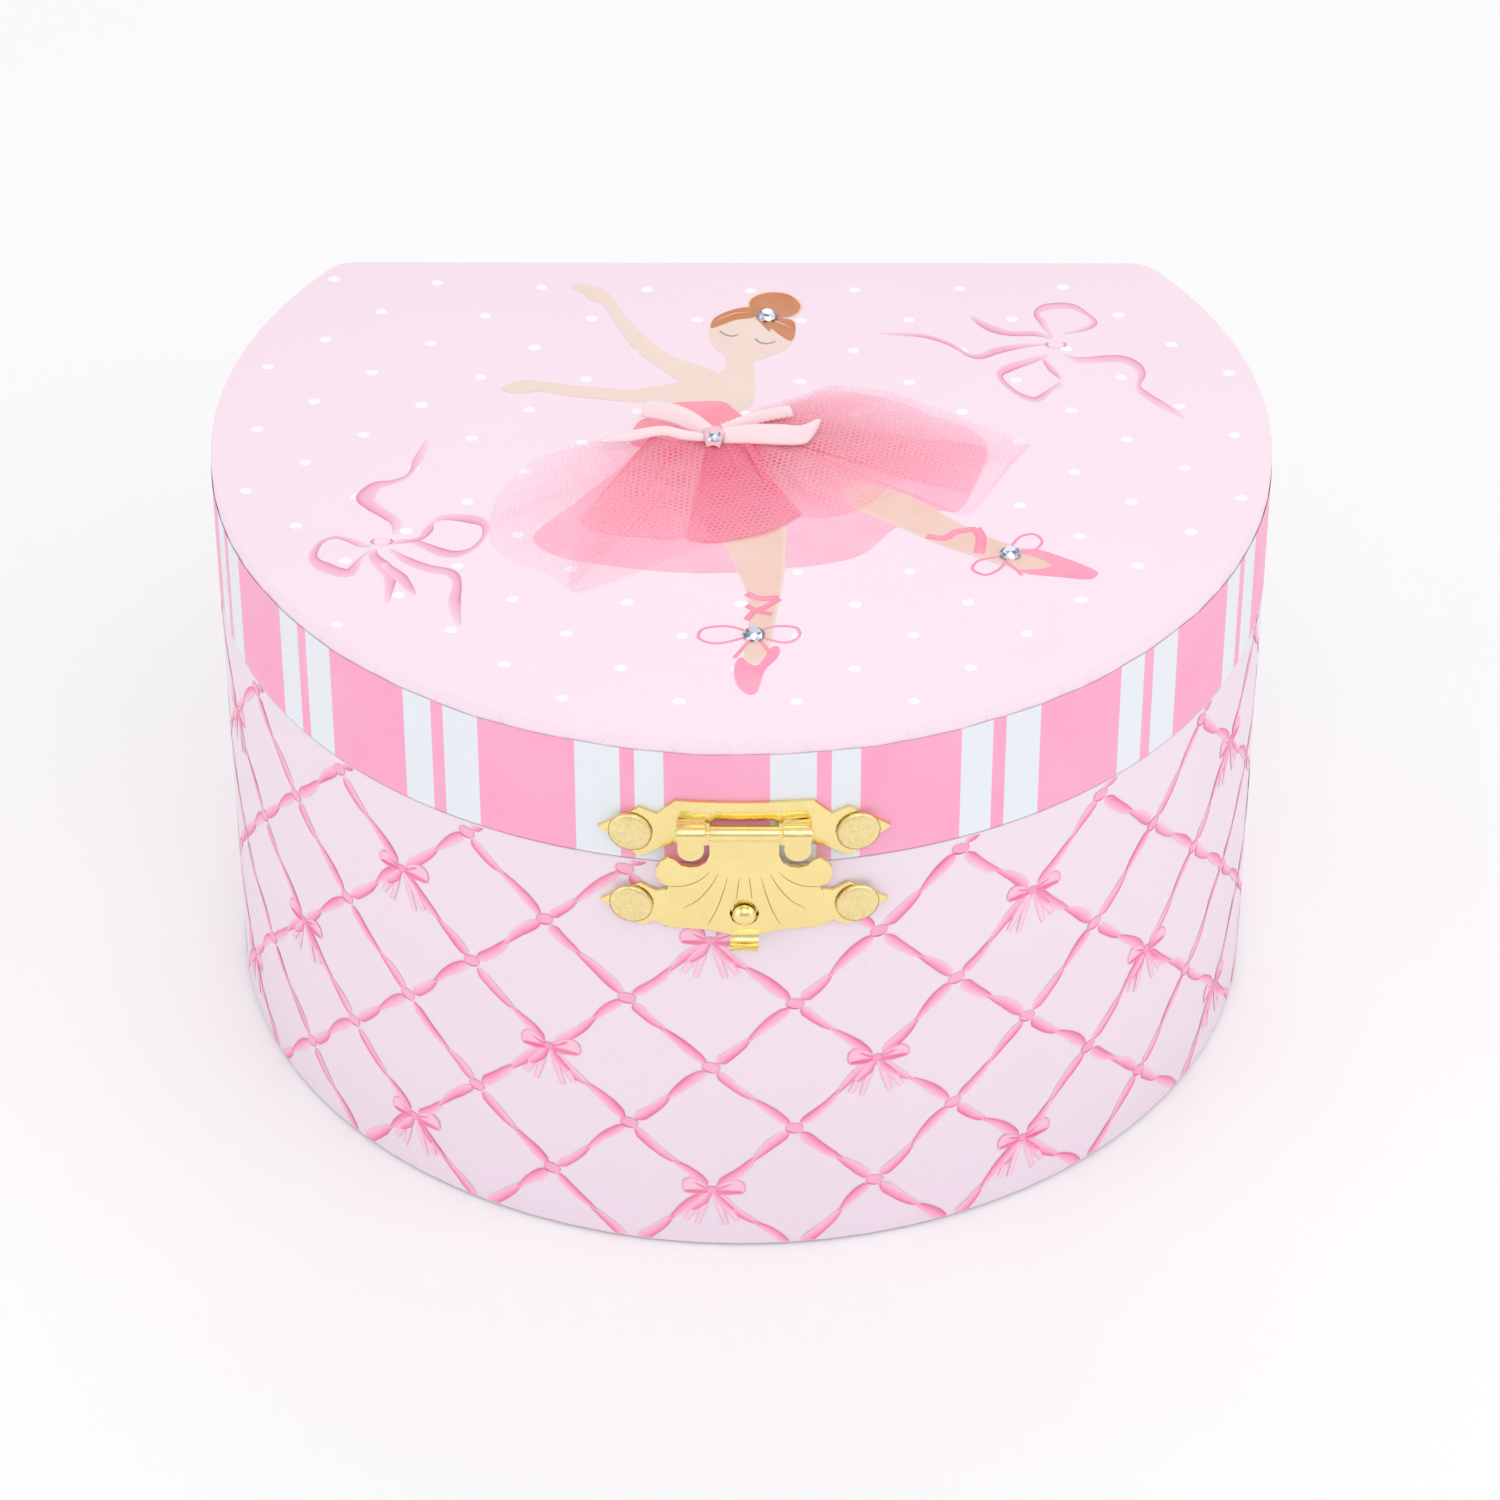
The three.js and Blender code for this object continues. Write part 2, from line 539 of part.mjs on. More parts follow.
// The coil spring bends forward between the fixed spindle and the dancer's cup.
function dancerSpring() {
  const bendRadius = SPRING_REACH / Math.tan(LEAN / 2);
  const length = bendRadius * LEAN;
  class BentCoil extends THREE.Curve {
    getPoint(t) {
      const bend = (t * length) / bendRadius;
      const turn = 2 * Math.PI * SPRING_COILS * t;
      const [across, forward] = [SPRING_RADIUS * Math.cos(turn), SPRING_RADIUS * Math.sin(turn)];
      const reach = bendRadius - forward;
      return new THREE.Vector3(
        across,
        SPINDLE_Y - bendRadius + reach * Math.cos(bend),
        PIVOT_Z - SPRING_REACH + reach * Math.sin(bend),
      );
    }
  }
  return tube(new BentCoil(), SPRING_WIRE, SPRING_COILS * 12, 5);
}

function figure() {
  const s0 = 7.3;
  const legProfile = [[0, 0], [1.9, 0], [1.9, 0.8], [0.55, 1], [0.75, 3.2], [0.8, 6], [1.25, 9.5], [1.0, 12.5], [1.5, 17],
    [1.9, 20.5], [2.3, 23], [2.2, 25.5], [1.75, 27.5], [1.9, 30], [2.2, 32], [1.9, 34], [0.95, 35.4], [0.8, 36.8],
    [1.4, 37.6], [2.1, 39.2], [2.25, 40.8], [1.9, 42.4], [1.1, 43.6], [1.1, 44.2], [0.9, 45.2], [0, 45.6]];
  const core = turned(legProfile, 14).scale(1, 0.92, 1).translate(0, 0, s0);
  const arms = [-1, 1].map((side) =>
    tube(curveThrough([[side * 1.4, 0, 33.4], [side * 4.6, 0.4, 36.6], [side * 6.2, 0.3, 40.6], [side * 5, -0.2, 45],
      [side * 1.8, -0.6, 48.6]].map(([x, y, z]) => [x, y, z + s0])), 0.62, 10, 7));
  const leg = tube(curveThrough([[0.6, 0, 21], [3, -2.4, 20.4], [5.2, -4.6, 19], [4, -3, 14.4], [1.6, -0.8, 10.6]]
    .map(([x, y, z]) => [x, y, z + s0])), 0.95, 12, 7);
  return leaned(join(core, ...arms, leg));
}

function buildDancer() {
  const cup = turned([[0, 5], [2.7, 5], [2.9, 5.8], [2.4, 7], [0, 7]], 16);
  add("spring_cup", leaned(cup), MATERIALS.plastic);
  add("dancer_spring", dancerSpring(), MATERIALS.steel);
  add("dancer_figure", figure(), MATERIALS.skin);
  const skirt = [[2.9, 33.8], [8, 33.2], [14.6, 31.6], [15, 32.4], [8.4, 35.2], [2.9, 35.6], [2.9, 33.8]];
  add("dancer_tutu", leaned(turned(skirt, 20)), MATERIALS.tulle);
}

// ---- the lid ------------------------------------------------------------------------------------------------
const MIRROR_Y = -14;
const MIRROR_HALF = [44, 29];

function ellipsePoints(x, y, a, b, steps) {
  return arcPoints(0, 0, 1, 0, 2 * Math.PI, steps).slice(0, -1).map((p) => new THREE.Vector2(x + a * p.x, y + b * p.y));
}

function buildLid() {
  add("lid_top_board", planSlab(0, LID_TOP_BOTTOM, TOTAL_HEIGHT), MATERIALS.lidPaper);
  const rim = planRing(0, BOARD, SEAM_Z + SEAM_GAP, LID_TOP_BOTTOM);
  add("lid_rim", cut(rim, ...rivetHoles(UPPER_RIVET_Z)), MATERIALS.stripe);
  add("lid_lining", planSlab(BOARD + FIT, CEILING_Z, LID_TOP_BOTTOM), MATERIALS.liningPaper);
  const [a, b] = MIRROR_HALF;
  const glass = extrude(ellipsePoints(0, MIRROR_Y, a, b, 48), CEILING_Z - 1.6, CEILING_Z);
  add("mirror", glass, MATERIALS.mirror);
  const frameOuter = ellipsePoints(0, MIRROR_Y, a + 3.6, b + 3.6, 48);
  const frame = extrude(frameOuter, CEILING_Z - 2, CEILING_Z, [ellipsePoints(0, MIRROR_Y, a + 0.3, b + 0.3, 48)]);
  add("mirror_frame", frame, MATERIALS.brass);
  const peg = rodZ(PLUNGER_X, PLUNGER_Y, 2.2, PLUNGER_TOP + 0.3, CEILING_Z, 16);
  add("lid_stop_peg", peg, MATERIALS.board);
}

// ---- soft and shiny trim on the lid ---------------------------------------------------------------------------
const SKIRT = [
  [-7, -3], [-14, -1.5], [-24, -4.5], [-33, -11], [-37, -22], [-37, -33], [-31, -38], [-24.5, -44.5], [-13, -39],
  [-5, -33.5], [4, -30.5], [12, -26], [20, -21], [24, -16.5], [33, -26], [38, -18], [43.5, -5.5], [30, 3.5],
  [15, 9.5], [6, 6], [1.5, 3],
];
const SKIRT_THICK = 2.2;
const GEM_RADIUS = 1.6;
const GEMS = { hair: [3.9, 31.4, 0], waist: [-4, -7.8, 3], left_shoe: [2, -54.9, 0], right_shoe: [39.3, -34.3, 0] };

function gem() {
  return turned([[0, 0], [GEM_RADIUS, 0], [GEM_RADIUS, 0.35], [GEM_RADIUS * 0.62, 1], [0, 1]], 8);
}

function ribbonBow() {
  const [low, high] = [TOTAL_HEIGHT + SKIRT_THICK + 0.1, TOTAL_HEIGHT + SKIRT_THICK + 0.75];
  const tail = (points) => extrude(vectors(points), low, high);
  const knot = extrude(ellipsePoints(-4, -7.4, 2.6, 2.7, 14), low, high);
  return join(
    knot,
    tail([[-3, -5.5], [-13.4, 1.7], [-15.9, -1.2], [-5, -7.5]]),
    tail([[-5, -6.8], [-11.7, -6.2], [-21.2, -8], [-15.4, -8.6], [-5, -8.6]]),
    tail([[-4, -7.4], [7.6, -1.4], [6.6, 1], [-4, -5]]),
    tail([[-4, -8.8], [8.5, -9.8], [11.9, -3], [8, -5], [-4, -6]]),
  );
}

function buildTrim() {
  add("tulle_skirt", extrude(vectors(SKIRT), TOTAL_HEIGHT + 0.02, TOTAL_HEIGHT + SKIRT_THICK), MATERIALS.tulle);
  add("waist_bow", ribbonBow(), MATERIALS.satin);
  for (const [place, [x, y, rise]] of Object.entries(GEMS)) {
    add(`gem_${place}`, gem().translate(x, y, TOTAL_HEIGHT + rise), MATERIALS.gem);
  }
}

// ---- the latch ----------------------------------------------------------------------------------------------
// A plate drawn flat in X and Z and pressed to the curve of the front.
function bentPlate(points, holes = []) {
  const slab = upright(points, -90, 30, holes).translate(LATCH_X, 0, 0);
  const shell = turned([[PLATE_IN, 50], [PLATE_OUT, 50], [PLATE_OUT, 90], [PLATE_IN, 90], [PLATE_IN, 50]], 160);
  return common(slab, shell);
}

const UPPER_PLATE = [
  [9.7, 83.5], [12.3, 80.9], [14.8, 81.8], [20.7, 77.5], [14.8, 73.3], [12, 75.1], [9.6, 76],
];
const LOWER_PLATE = [
  [9, 68.4], [12.5, 67.3], [14.8, 68.4], [20.6, 64.5], [14.8, 60.8], [12.7, 61.9], [11, 61], [4.9, 60.8], [2.6, 60.2],
];
const HOOK = { near: 5.5, far: 9.5, outer: 1.3, inner: 0.7, tongueEnd: 75.4 };

// A shape drawn in Y and Z, extruded along X.
function sideways(points, x0, x1) {
  const axes = new THREE.Matrix4().makeBasis(
    new THREE.Vector3(0, 1, 0),
    new THREE.Vector3(0, 0, 1),
    new THREE.Vector3(1, 0, 0),
  );
  return extrude(points, x0, x1).applyMatrix4(axes);
}

// A strip of the plate is drawn forward, curled over the pin and ends in a round tongue below it.
function knuckleHook(x0, x1) {
  const { outer, inner, tongueEnd } = HOOK;
  const start = 0.25 * Math.PI;
  const curl = [
    ...arcPoints(PIN_Y, PIN_Z, outer, start, Math.PI, 9),
    ...arcPoints(PIN_Y, PIN_Z, inner, Math.PI, start, 9),
  ];
  const root = vectors([
    [-80.4, PIN_Z + 0.2], [-80.4, PIN_Z + 1.2], [PIN_Y + 0.9, PIN_Z + 0.94], [PIN_Y + 0.52, PIN_Z + 0.46],
  ]);
  const middle = (x0 + x1) / 2;
  const half = (x1 - x0) / 2 - 0.15;
  const tongue = [
    new THREE.Vector2(middle + half, PIN_Z + 0.1),
    ...arcPoints(middle, tongueEnd + half, half, 2 * Math.PI, Math.PI, 10),
    new THREE.Vector2(middle - half, PIN_Z + 0.1),
  ];
  return join(sideways(curl, x0, x1), sideways(root, x0, x1), upright(tongue, PIN_Y - outer + 0.02, outer - inner - 0.02));
}

function upperPlate() {
  const slot = vectors([[-5, 79.1], [5, 79.1], [4.4, 80.5], [-4.4, 80.5]]);
  const plate = cut(bentPlate(mirrored(UPPER_PLATE), [slot]), ...rivetHoles(UPPER_RIVET_Z));
  const { near, far } = HOOK;
  const hooks = [knuckleHook(LATCH_X + near, LATCH_X + far), knuckleHook(LATCH_X - far, LATCH_X - near)];
  return join(plate, ...hooks);
}

function lowerPlate() {
  const catchHole = rodY(LATCH_X, CATCH_Z, 1.05, -90, -70, 16);
  return cut(bentPlate(mirrored(LOWER_PLATE)), ...rivetHoles(LOWER_RIVET_Z), catchHole);
}

const FLAP = [
  [4.9, 79.2], [4.9, 75.2], [5.4, 73.9], [6.5, 73.2], [7.7, 73.05], [8.9, 73.4], [9.7, 74.3], [10.6, 74.8], [11.7, 74.1],
  [12.4, 72.9], [12.4, 71.5], [11.7, 70.3], [10.6, 69.7], [11.1, 68.9], [11.2, 67.8], [10.6, 66.7], [9.6, 66.1],
  [8.5, 65.9], [8.7, 65.1], [8.5, 64], [7.7, 63], [6.5, 62.6], [5.1, 62.9], [4.9, 62.3], [4, 61.6], [2.9, 61.3],
];
const FLAP_HOLE = 2.1;
const ROLL = { outer: 1.1, inner: 0.62, half: 4.9 };
const LIP_HALF = 2;

// The shell-shaped flap: its top is rolled round the pin, two notches clear the hooks, and a lip lifts it.
function hasp() {
  const clearance = rodX(PIN_Y, PIN_Z, ROLL.inner, -ROLL.half - 1, ROLL.half + 1, 16);
  const roll = rodX(PIN_Y, PIN_Z, ROLL.outer, -ROLL.half, ROLL.half, 20);
  const flap = upright(mirrored(FLAP), HASP_INNER_Y - HASP_THICK, HASP_THICK);
  const hole = rodY(0, CATCH_Z, FLAP_HOLE, -90, -70, 20);
  const centre = [HASP_INNER_Y - HASP_THICK - 1.3, 61.4];
  const lip = sideways([
    ...arcPoints(...centre, 1.3 + HASP_THICK, 0, -0.62 * Math.PI, 7),
    ...arcPoints(...centre, 1.3, -0.62 * Math.PI, 0, 7),
  ].reverse(), -LIP_HALF, LIP_HALF);
  return join(cut(join(flap, roll), clearance, hole), lip).translate(LATCH_X, 0, 0);
}

function rivet() {
  const profile = [
    [0, 77.1], [RIVET_SHANK, 77.1], [RIVET_SHANK, 80.85], [3.2, 80.85], [3.15, 81.2], [2.6, 81.42], [0, 81.5],
  ];
  return turned(profile, 20);
}

function buildLatch() {
  add("latch_upper_plate", upperPlate(), MATERIALS.brass);
  add("latch_hinge_pin", rodX(PIN_Y, PIN_Z, PIN_RADIUS, LATCH_X - 9.8, LATCH_X + 9.8, 12), MATERIALS.brass);
  add("latch_hasp", hasp(), MATERIALS.brass);
  add("latch_lower_plate", lowerPlate(), MATERIALS.brass);
  const stud = turned([[0, 0], [0.8, 0], [0.8, 0.8], [1.5, 0.8], [1.75, 1.7], [1.7, 2.3], [1.3, 2.9], [0.7, 3.2], [0, 3.3]], 16);
  add("latch_catch", stud.rotateX(Math.PI / 2).translate(LATCH_X, -80.05, CATCH_Z), MATERIALS.brass);
  for (const [row, z] of [["upper", UPPER_RIVET_Z], ["lower", LOWER_RIVET_Z]]) {
    for (const [side, sign] of [["left", -1], ["right", 1]]) {
      add(`latch_rivet_${row}_${side}`, ontoFront(rivet(), sign * RIVET_OFFSET, z), MATERIALS.brass);
    }
  }
}

// ---- the cloth hinge and the ribbon stay, in their closed shapes ------------------------------------------------
const HINGE_CLOTH = 0.4;
const HINGE_HALF = 60;
const HINGE_REACH = 14; // above and below the seam
const STAY = { x0: 64, x1: 71, front: -2, fold: 20, caseZ: 67, lidZ: 82, thick: 0.4, tab: 4 };

// The ribbon is glued inside the case and inside the lid, and folds back towards the hinge when the lid is shut.
function stayRibbon() {
  const { x0, x1, front, fold, caseZ, lidZ, thick, tab } = STAY;
  const middle = (caseZ + lidZ) / 2;
  const fabric = sideways(vectors([
    [front, caseZ], [fold, middle], [front, lidZ],
    [front, lidZ - 1.2 * thick], [fold - 3.4 * thick, middle], [front, caseZ + 1.2 * thick],
  ]), x0, x1);
  const caseTab = box(x0, 74.9, front - tab, front + 0.1, caseZ, caseZ + thick);
  const lidTab = box(x0, 76.3, front - tab, front + 0.1, lidZ - thick, lidZ);
  return join(fabric, caseTab, lidTab);
}

function buildCloth() {
  const [z0, z1] = [SEAM_Z - HINGE_REACH, SEAM_Z + HINGE_REACH];
  const cloth = box(-HINGE_HALF, HINGE_HALF, BACK_Y + 0.02, BACK_Y + HINGE_CLOTH, z0, z1);
  add("hinge_strip", cloth, MATERIALS.cloth);
  add("stay_ribbon", stayRibbon(), MATERIALS.satin);
}

buildCase();
buildInterior();
buildMovement();
buildDancer();
buildLid();
buildTrim();
buildLatch();
buildCloth();

// The origin is under the middle of the whole object, on the surface that it stands on.
const bounds = new THREE.Box3().setFromObject(box3d);
box3d.position.set(0, -(bounds.min.y + bounds.max.y) / 2, 0);

export default box3d;
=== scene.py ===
"""Looks for the ballerina jewellery box.

Printed papers and a brass latch outside, with a tulle skirt, a satin bow and rhinestones on the lid.
Inside are velvet, a mirror and a painted dancer on a coil spring. Art and soft pieces are drawn in
millimetres about the centre of the round plan, as the CAD pieces are, and at() turns them into metres in
the row frame.
"""

import json
import math
import random

import bmesh
import bpy
import numpy as np
from mathutils import Matrix, Vector
from mathutils.geometry import tessellate_polygon


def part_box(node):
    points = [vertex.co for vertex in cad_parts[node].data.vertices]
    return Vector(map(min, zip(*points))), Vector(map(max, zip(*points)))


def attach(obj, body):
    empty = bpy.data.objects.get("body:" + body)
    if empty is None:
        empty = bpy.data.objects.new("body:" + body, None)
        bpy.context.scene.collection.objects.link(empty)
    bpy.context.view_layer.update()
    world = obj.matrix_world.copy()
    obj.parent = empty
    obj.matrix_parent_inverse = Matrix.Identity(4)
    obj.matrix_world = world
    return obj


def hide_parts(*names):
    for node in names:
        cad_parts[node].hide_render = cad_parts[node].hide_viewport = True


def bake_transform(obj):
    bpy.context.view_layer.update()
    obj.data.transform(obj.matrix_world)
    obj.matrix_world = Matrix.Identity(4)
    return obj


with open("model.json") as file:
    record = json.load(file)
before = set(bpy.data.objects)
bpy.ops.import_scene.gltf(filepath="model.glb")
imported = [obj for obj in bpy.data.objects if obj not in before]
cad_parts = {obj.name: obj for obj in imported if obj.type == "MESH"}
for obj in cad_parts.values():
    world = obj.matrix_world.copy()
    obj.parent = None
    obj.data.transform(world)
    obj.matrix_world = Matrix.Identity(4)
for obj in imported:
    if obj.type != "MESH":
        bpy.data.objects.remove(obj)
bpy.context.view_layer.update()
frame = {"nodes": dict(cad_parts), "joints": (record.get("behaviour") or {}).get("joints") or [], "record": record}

# ---- the frame ----
MM = 0.001
JOINT = {joint["name"]: joint for joint in frame["joints"]}
BACK_Y = 48.0
SHIFT = JOINT["lid_hinge"]["pos_m"][1] / MM - BACK_Y
RADIUS = 80.0
CORNER = 5.0
SEAM_Z = 72.0
LID_Z = 94.0
HINGE = Vector(JOINT["lid_hinge"]["pos_m"])
LID_OPEN = math.radians(JOINT["lid_hinge"]["range_deg"][1])
PIVOT = Vector(JOINT["dancer_rise"]["pos_m"])
LEAN = math.radians(JOINT["dancer_rise"]["range_deg"][1])
SPIN_AXIS = Vector(JOINT["dancer_spin"]["axis"])


def at(x, y, z):
    """A point in metres in the row frame, from millimetres about the plan's centre."""
    return Vector((x, y + SHIFT, z)) * MM


def linear(hexcode):
    """A hex colour as a linear RGBA tuple."""
    rgb = [int(hexcode[i : i + 2], 16) / 255 for i in (0, 2, 4)]
    return tuple(c / 12.92 if c <= 0.04045 else ((c + 0.055) / 1.055) ** 2.4 for c in rgb) + (1.0,)


# ---- camera, lights and floor ----
scene = bpy.context.scene
scene.view_settings.view_transform = "Standard"
CAMERA_PLACE = (3.047, -652.9, 515.375)
CAMERA_DIP = 0.6361  # radians below the horizon
CAMERA_TURN = 0.0027  # radians to the left
# Metres and watts: where each lamp stands, the side of its square and its power. All aim at the box.
LIGHT_AIM = Vector((0, 0, 0.05))
LIGHTS = {
    "key": ((0.1, -0.85, 1.1), 0.8, 2.7),
    "fill": ((0.95, -0.45, 0.55), 0.9, 2.2),
    "left": ((-0.95, -0.5, 0.45), 0.9, 2.0),
    "rim": ((0.1, 0.9, 0.9), 0.8, 1.5),
}
SKY_STRENGTH = 0.81
SKY_LOW = (0.62, 0.62, 0.63, 1)
SKY_HIGH = (1, 1, 1, 1)


def add_camera():
    data = bpy.data.cameras.new("camera")
    data.lens = 123.1
    data.sensor_width = 36
    data.clip_end = 10
    camera = bpy.data.objects.new("camera", data)
    scene.collection.objects.link(camera)
    camera.location = at(*CAMERA_PLACE)
    camera.rotation_euler = (math.pi / 2 - CAMERA_DIP, 0, CAMERA_TURN)
    scene.camera = camera


def area_light(name, place, size, power):
    data = bpy.data.lights.new(name, "AREA")
    data.size = size
    data.energy = power
    lamp = bpy.data.objects.new(name, data)
    scene.collection.objects.link(lamp)
    lamp.location = place
    lamp.rotation_euler = (LIGHT_AIM - Vector(place)).to_track_quat("-Z", "Y").to_euler()


def studio_sky():
    """White above, and a little greyer towards the horizon and below it."""
    world = bpy.data.worlds.new("studio")
    world.use_nodes = True
    sky = world.node_tree
    direction = sky.nodes.new("ShaderNodeTexCoord")
    parts = sky.nodes.new("ShaderNodeSeparateXYZ")
    ramp = sky.nodes.new("ShaderNodeValToRGB")
    for stop, place, colour in zip(ramp.color_ramp.elements, (0.0, 0.55), (SKY_LOW, SKY_HIGH)):
        stop.position = place
        stop.color = colour
    background = sky.nodes["Background"]
    sky.links.new(direction.outputs["Generated"], parts.inputs[0])
    sky.links.new(parts.outputs[2], ramp.inputs[0])
    sky.links.new(ramp.outputs[0], background.inputs["Color"])
    background.inputs["Strength"].default_value = SKY_STRENGTH
    scene.world = world


add_camera()
for light, (place, size, power) in LIGHTS.items():
    area_light(light, place, size, power)
studio_sky()


# ---- node materials ----
class Graph:
    """A material being built: each call adds one node and gives its output socket."""

    def __init__(self, name):
        self.material = bpy.data.materials.new(name)
        self.material.use_nodes = True
        self.tree = self.material.node_tree
        self.shader = self.tree.nodes["Principled BSDF"]

    def node(self, kind, inputs=(), out=0, **settings):
        node = self.tree.nodes.new(kind)
        for key, value in settings.items():
            setattr(node, key, value)
        for key, value in dict(inputs).items():
            self.feed(node.inputs[key], value)
        return node.outputs[out]

    def feed(self, socket, value):
        if isinstance(value, bpy.types.NodeSocket):
            self.tree.links.new(value, socket)
        else:
            socket.default_value = value

    def math(self, operation, a, b=0.0, c=0.0):
        return self.node("ShaderNodeMath", {0: a, 1: b, 2: c}, operation=operation)

    def times(self, a, b):
        return self.math("MULTIPLY", a, b)

    def plus(self, a, b):
        return self.math("ADD", a, b)

    def coords(self):
        return self.node("ShaderNodeTexCoord", out="Object")

    def scaled(self, vector, factors):
        return self.node("ShaderNodeVectorMath", {0: vector, 1: factors}, operation="MULTIPLY")

    def split(self, vector):
        node = self.tree.nodes.new("ShaderNodeSeparateXYZ")
        self.feed(node.inputs[0], vector)
        return node.outputs

    def noise(self, scale, detail=3.0, vector=None, rough=0.55):
        vector = self.coords() if vector is None else vector
        settings = {"Vector": vector, "Scale": scale, "Detail": detail, "Roughness": rough}
        return self.node("ShaderNodeTexNoise", settings)

    def ramp(self, factor, low, high, start=0.0, end=1.0):
        """A value from low to high as factor goes from start to end."""
        settings = {"Value": factor, "From Min": start, "From Max": end, "To Min": low, "To Max": high}
        return self.node("ShaderNodeMapRange", settings)

    def mix(self, factor, a, b):
        return self.node("ShaderNodeMix", {0: factor, 6: a, 7: b}, out=2, data_type="RGBA", clamp_factor=True)

    def bump(self, height, distance, strength):
        return self.node("ShaderNodeBump", {"Height": height, "Distance": distance, "Strength": strength})

    def set(self, **values):
        """Feeds the shader's sockets, where Base_Color is Base Color. A plain value is set on the socket."""
        for key, value in values.items():
            self.feed(self.shader.inputs[key.replace("_", " ")], value)
        return self


def tint(colour, factor):
    return tuple(min(1.0, c * factor) for c in colour[:3]) + (1.0,)


def paper(name, colour_of, roughness=0.46):
    """Coated paper on card. colour_of(graph) gives its print. Its fibres show, and its sheen varies."""
    g = Graph(name)
    colour = colour_of(g)
    mottle = g.noise(60.0, 4.0)
    shade = g.mix(g.ramp(mottle, 0.0, 0.16, 0.3, 0.75), colour, (0.86, 0.78, 0.84, 1.0))
    fibre = g.noise(2600.0, 2.0)
    g.set(Base_Color=shade, Roughness=g.ramp(g.noise(180.0, 3.0), roughness - 0.06, roughness + 0.08))
    return g.set(Normal=g.bump(fibre, 0.00003, 0.35), Specular_IOR_Level=0.4).material


def plain(colour):
    """One colour, a shade darker in places."""
    return lambda g: g.mix(g.noise(25.0, 2.0), colour, tint(colour, 0.97))


def painted(g):
    """The colour painted on each vertex."""
    return g.node("ShaderNodeVertexColor", layer_name="Col")


WHITE = (1.0, 1.0, 1.0, 1.0)
STRIPE_PINK = linear("FFA4C9")
STRIPE_WHITE = linear("E6EBF2")
LID_PINK = linear("FBE2F0")
WALL_PINK = linear("F1DFEC")
LINING_PINK = linear("F6C3D8")
BRASS_YELLOW = linear("FBE6A0")
# Millimetres along the rim. The stripes repeat every STRIPE_PERIOD, and a wide one starts STRIPE_START left
# of the front's middle. Next to the middle the thin stripe sits off centre between its white ones.
STRIPE_PERIOD = 27.7
STRIPE_START = 10.6
WIDE_STRIPE = 14.9
THIN_STRIPE = 2.1
THIN_MIDDLE = 20.9
THIN_MIDDLE_FRONT = 22.5
WHOLE_TURNS = 20  # keeps the step's count positive all round


def stripes(g):
    """Wide pink, white, thin pink and white stripes round the rim."""
    x, y, _ = g.split(g.coords())
    forward = g.math("MULTIPLY_ADD", y, -1.0, SHIFT * MM)
    arc = g.times(g.math("ARCTAN2", x, forward), RADIUS)
    along_back = g.times(x, 1 / MM)
    back = g.math("GREATER_THAN", y, (BACK_Y + SHIFT - 0.5) * MM)
    place = g.node("ShaderNodeMix", {0: back, 2: arc, 3: along_back}, data_type="FLOAT")
    count = g.math("MULTIPLY_ADD", place, 1 / STRIPE_PERIOD, STRIPE_START / STRIPE_PERIOD + WHOLE_TURNS)
    step = g.math("FRACT", count)
    wide = g.math("LESS_THAN", step, WIDE_STRIPE / STRIPE_PERIOD)
    away = g.math("GREATER_THAN", g.math("ABSOLUTE", place), STRIPE_PERIOD)
    thin_place = g.ramp(away, THIN_MIDDLE_FRONT / STRIPE_PERIOD, THIN_MIDDLE / STRIPE_PERIOD)
    thin = g.math("COMPARE", step, thin_place, THIN_STRIPE / 2 / STRIPE_PERIOD)
    pink = g.mix(g.noise(45.0, 3.0), STRIPE_PINK, tint(STRIPE_PINK, 0.93))
    outside = g.mix(g.math("MAXIMUM", wide, thin), STRIPE_WHITE, pink)
    plan = g.math("SQRT", g.plus(g.times(x, x), g.times(forward, forward)))
    within = g.math("LESS_THAN", plan, (RADIUS - 1) * MM)
    before_back = g.math("LESS_THAN", y, (BACK_Y + SHIFT - 1) * MM)
    return g.mix(g.times(within, before_back), outside, LINING_PINK)


def printed():
    """Ink on the paper, with its colour painted on the decal's own vertices."""
    g = Graph("print")
    ink = painted(g)
    shade = g.mix(g.ramp(g.noise(140.0, 3.0), 0.0, 0.14, 0.35, 0.7), ink, (1.0, 0.93, 0.96, 1.0))
    g.set(Base_Color=shade, Roughness=g.ramp(g.noise(200.0), 0.4, 0.54))
    return g.set(Normal=g.bump(g.noise(2600.0, 2.0), 0.00003, 0.35)).material


def brass_finish(name):
    """Polished plate, faintly clouded and scuffed."""
    g = Graph(name)
    cloud = g.noise(260.0, 5.0)
    scuff = g.noise(900.0, 2.0, g.scaled(g.coords(), (1.0, 1.0, 6.0)))
    tone = g.mix(g.ramp(cloud, 0.0, 0.5, 0.3, 0.7), BRASS_YELLOW, tint(BRASS_YELLOW, 0.9))
    g.set(Base_Color=tone, Roughness=g.ramp(scuff, 0.14, 0.3, 0.35, 0.65), Metallic=1.0)
    return g.set(Normal=g.bump(cloud, 0.00006, 0.5)).material


def metal_finish(name, colour, roughness, grain=(1.0, 1.0, 30.0)):
    g = Graph(name)
    brushed = g.noise(400.0, 3.0, g.scaled(g.coords(), grain))
    g.set(Base_Color=g.mix(brushed, colour, tint(colour, 0.8)), Metallic=1.0)
    g.set(Roughness=g.ramp(brushed, roughness - 0.08, roughness + 0.1))
    return g.set(Normal=g.bump(brushed, 0.00003, 0.5)).material


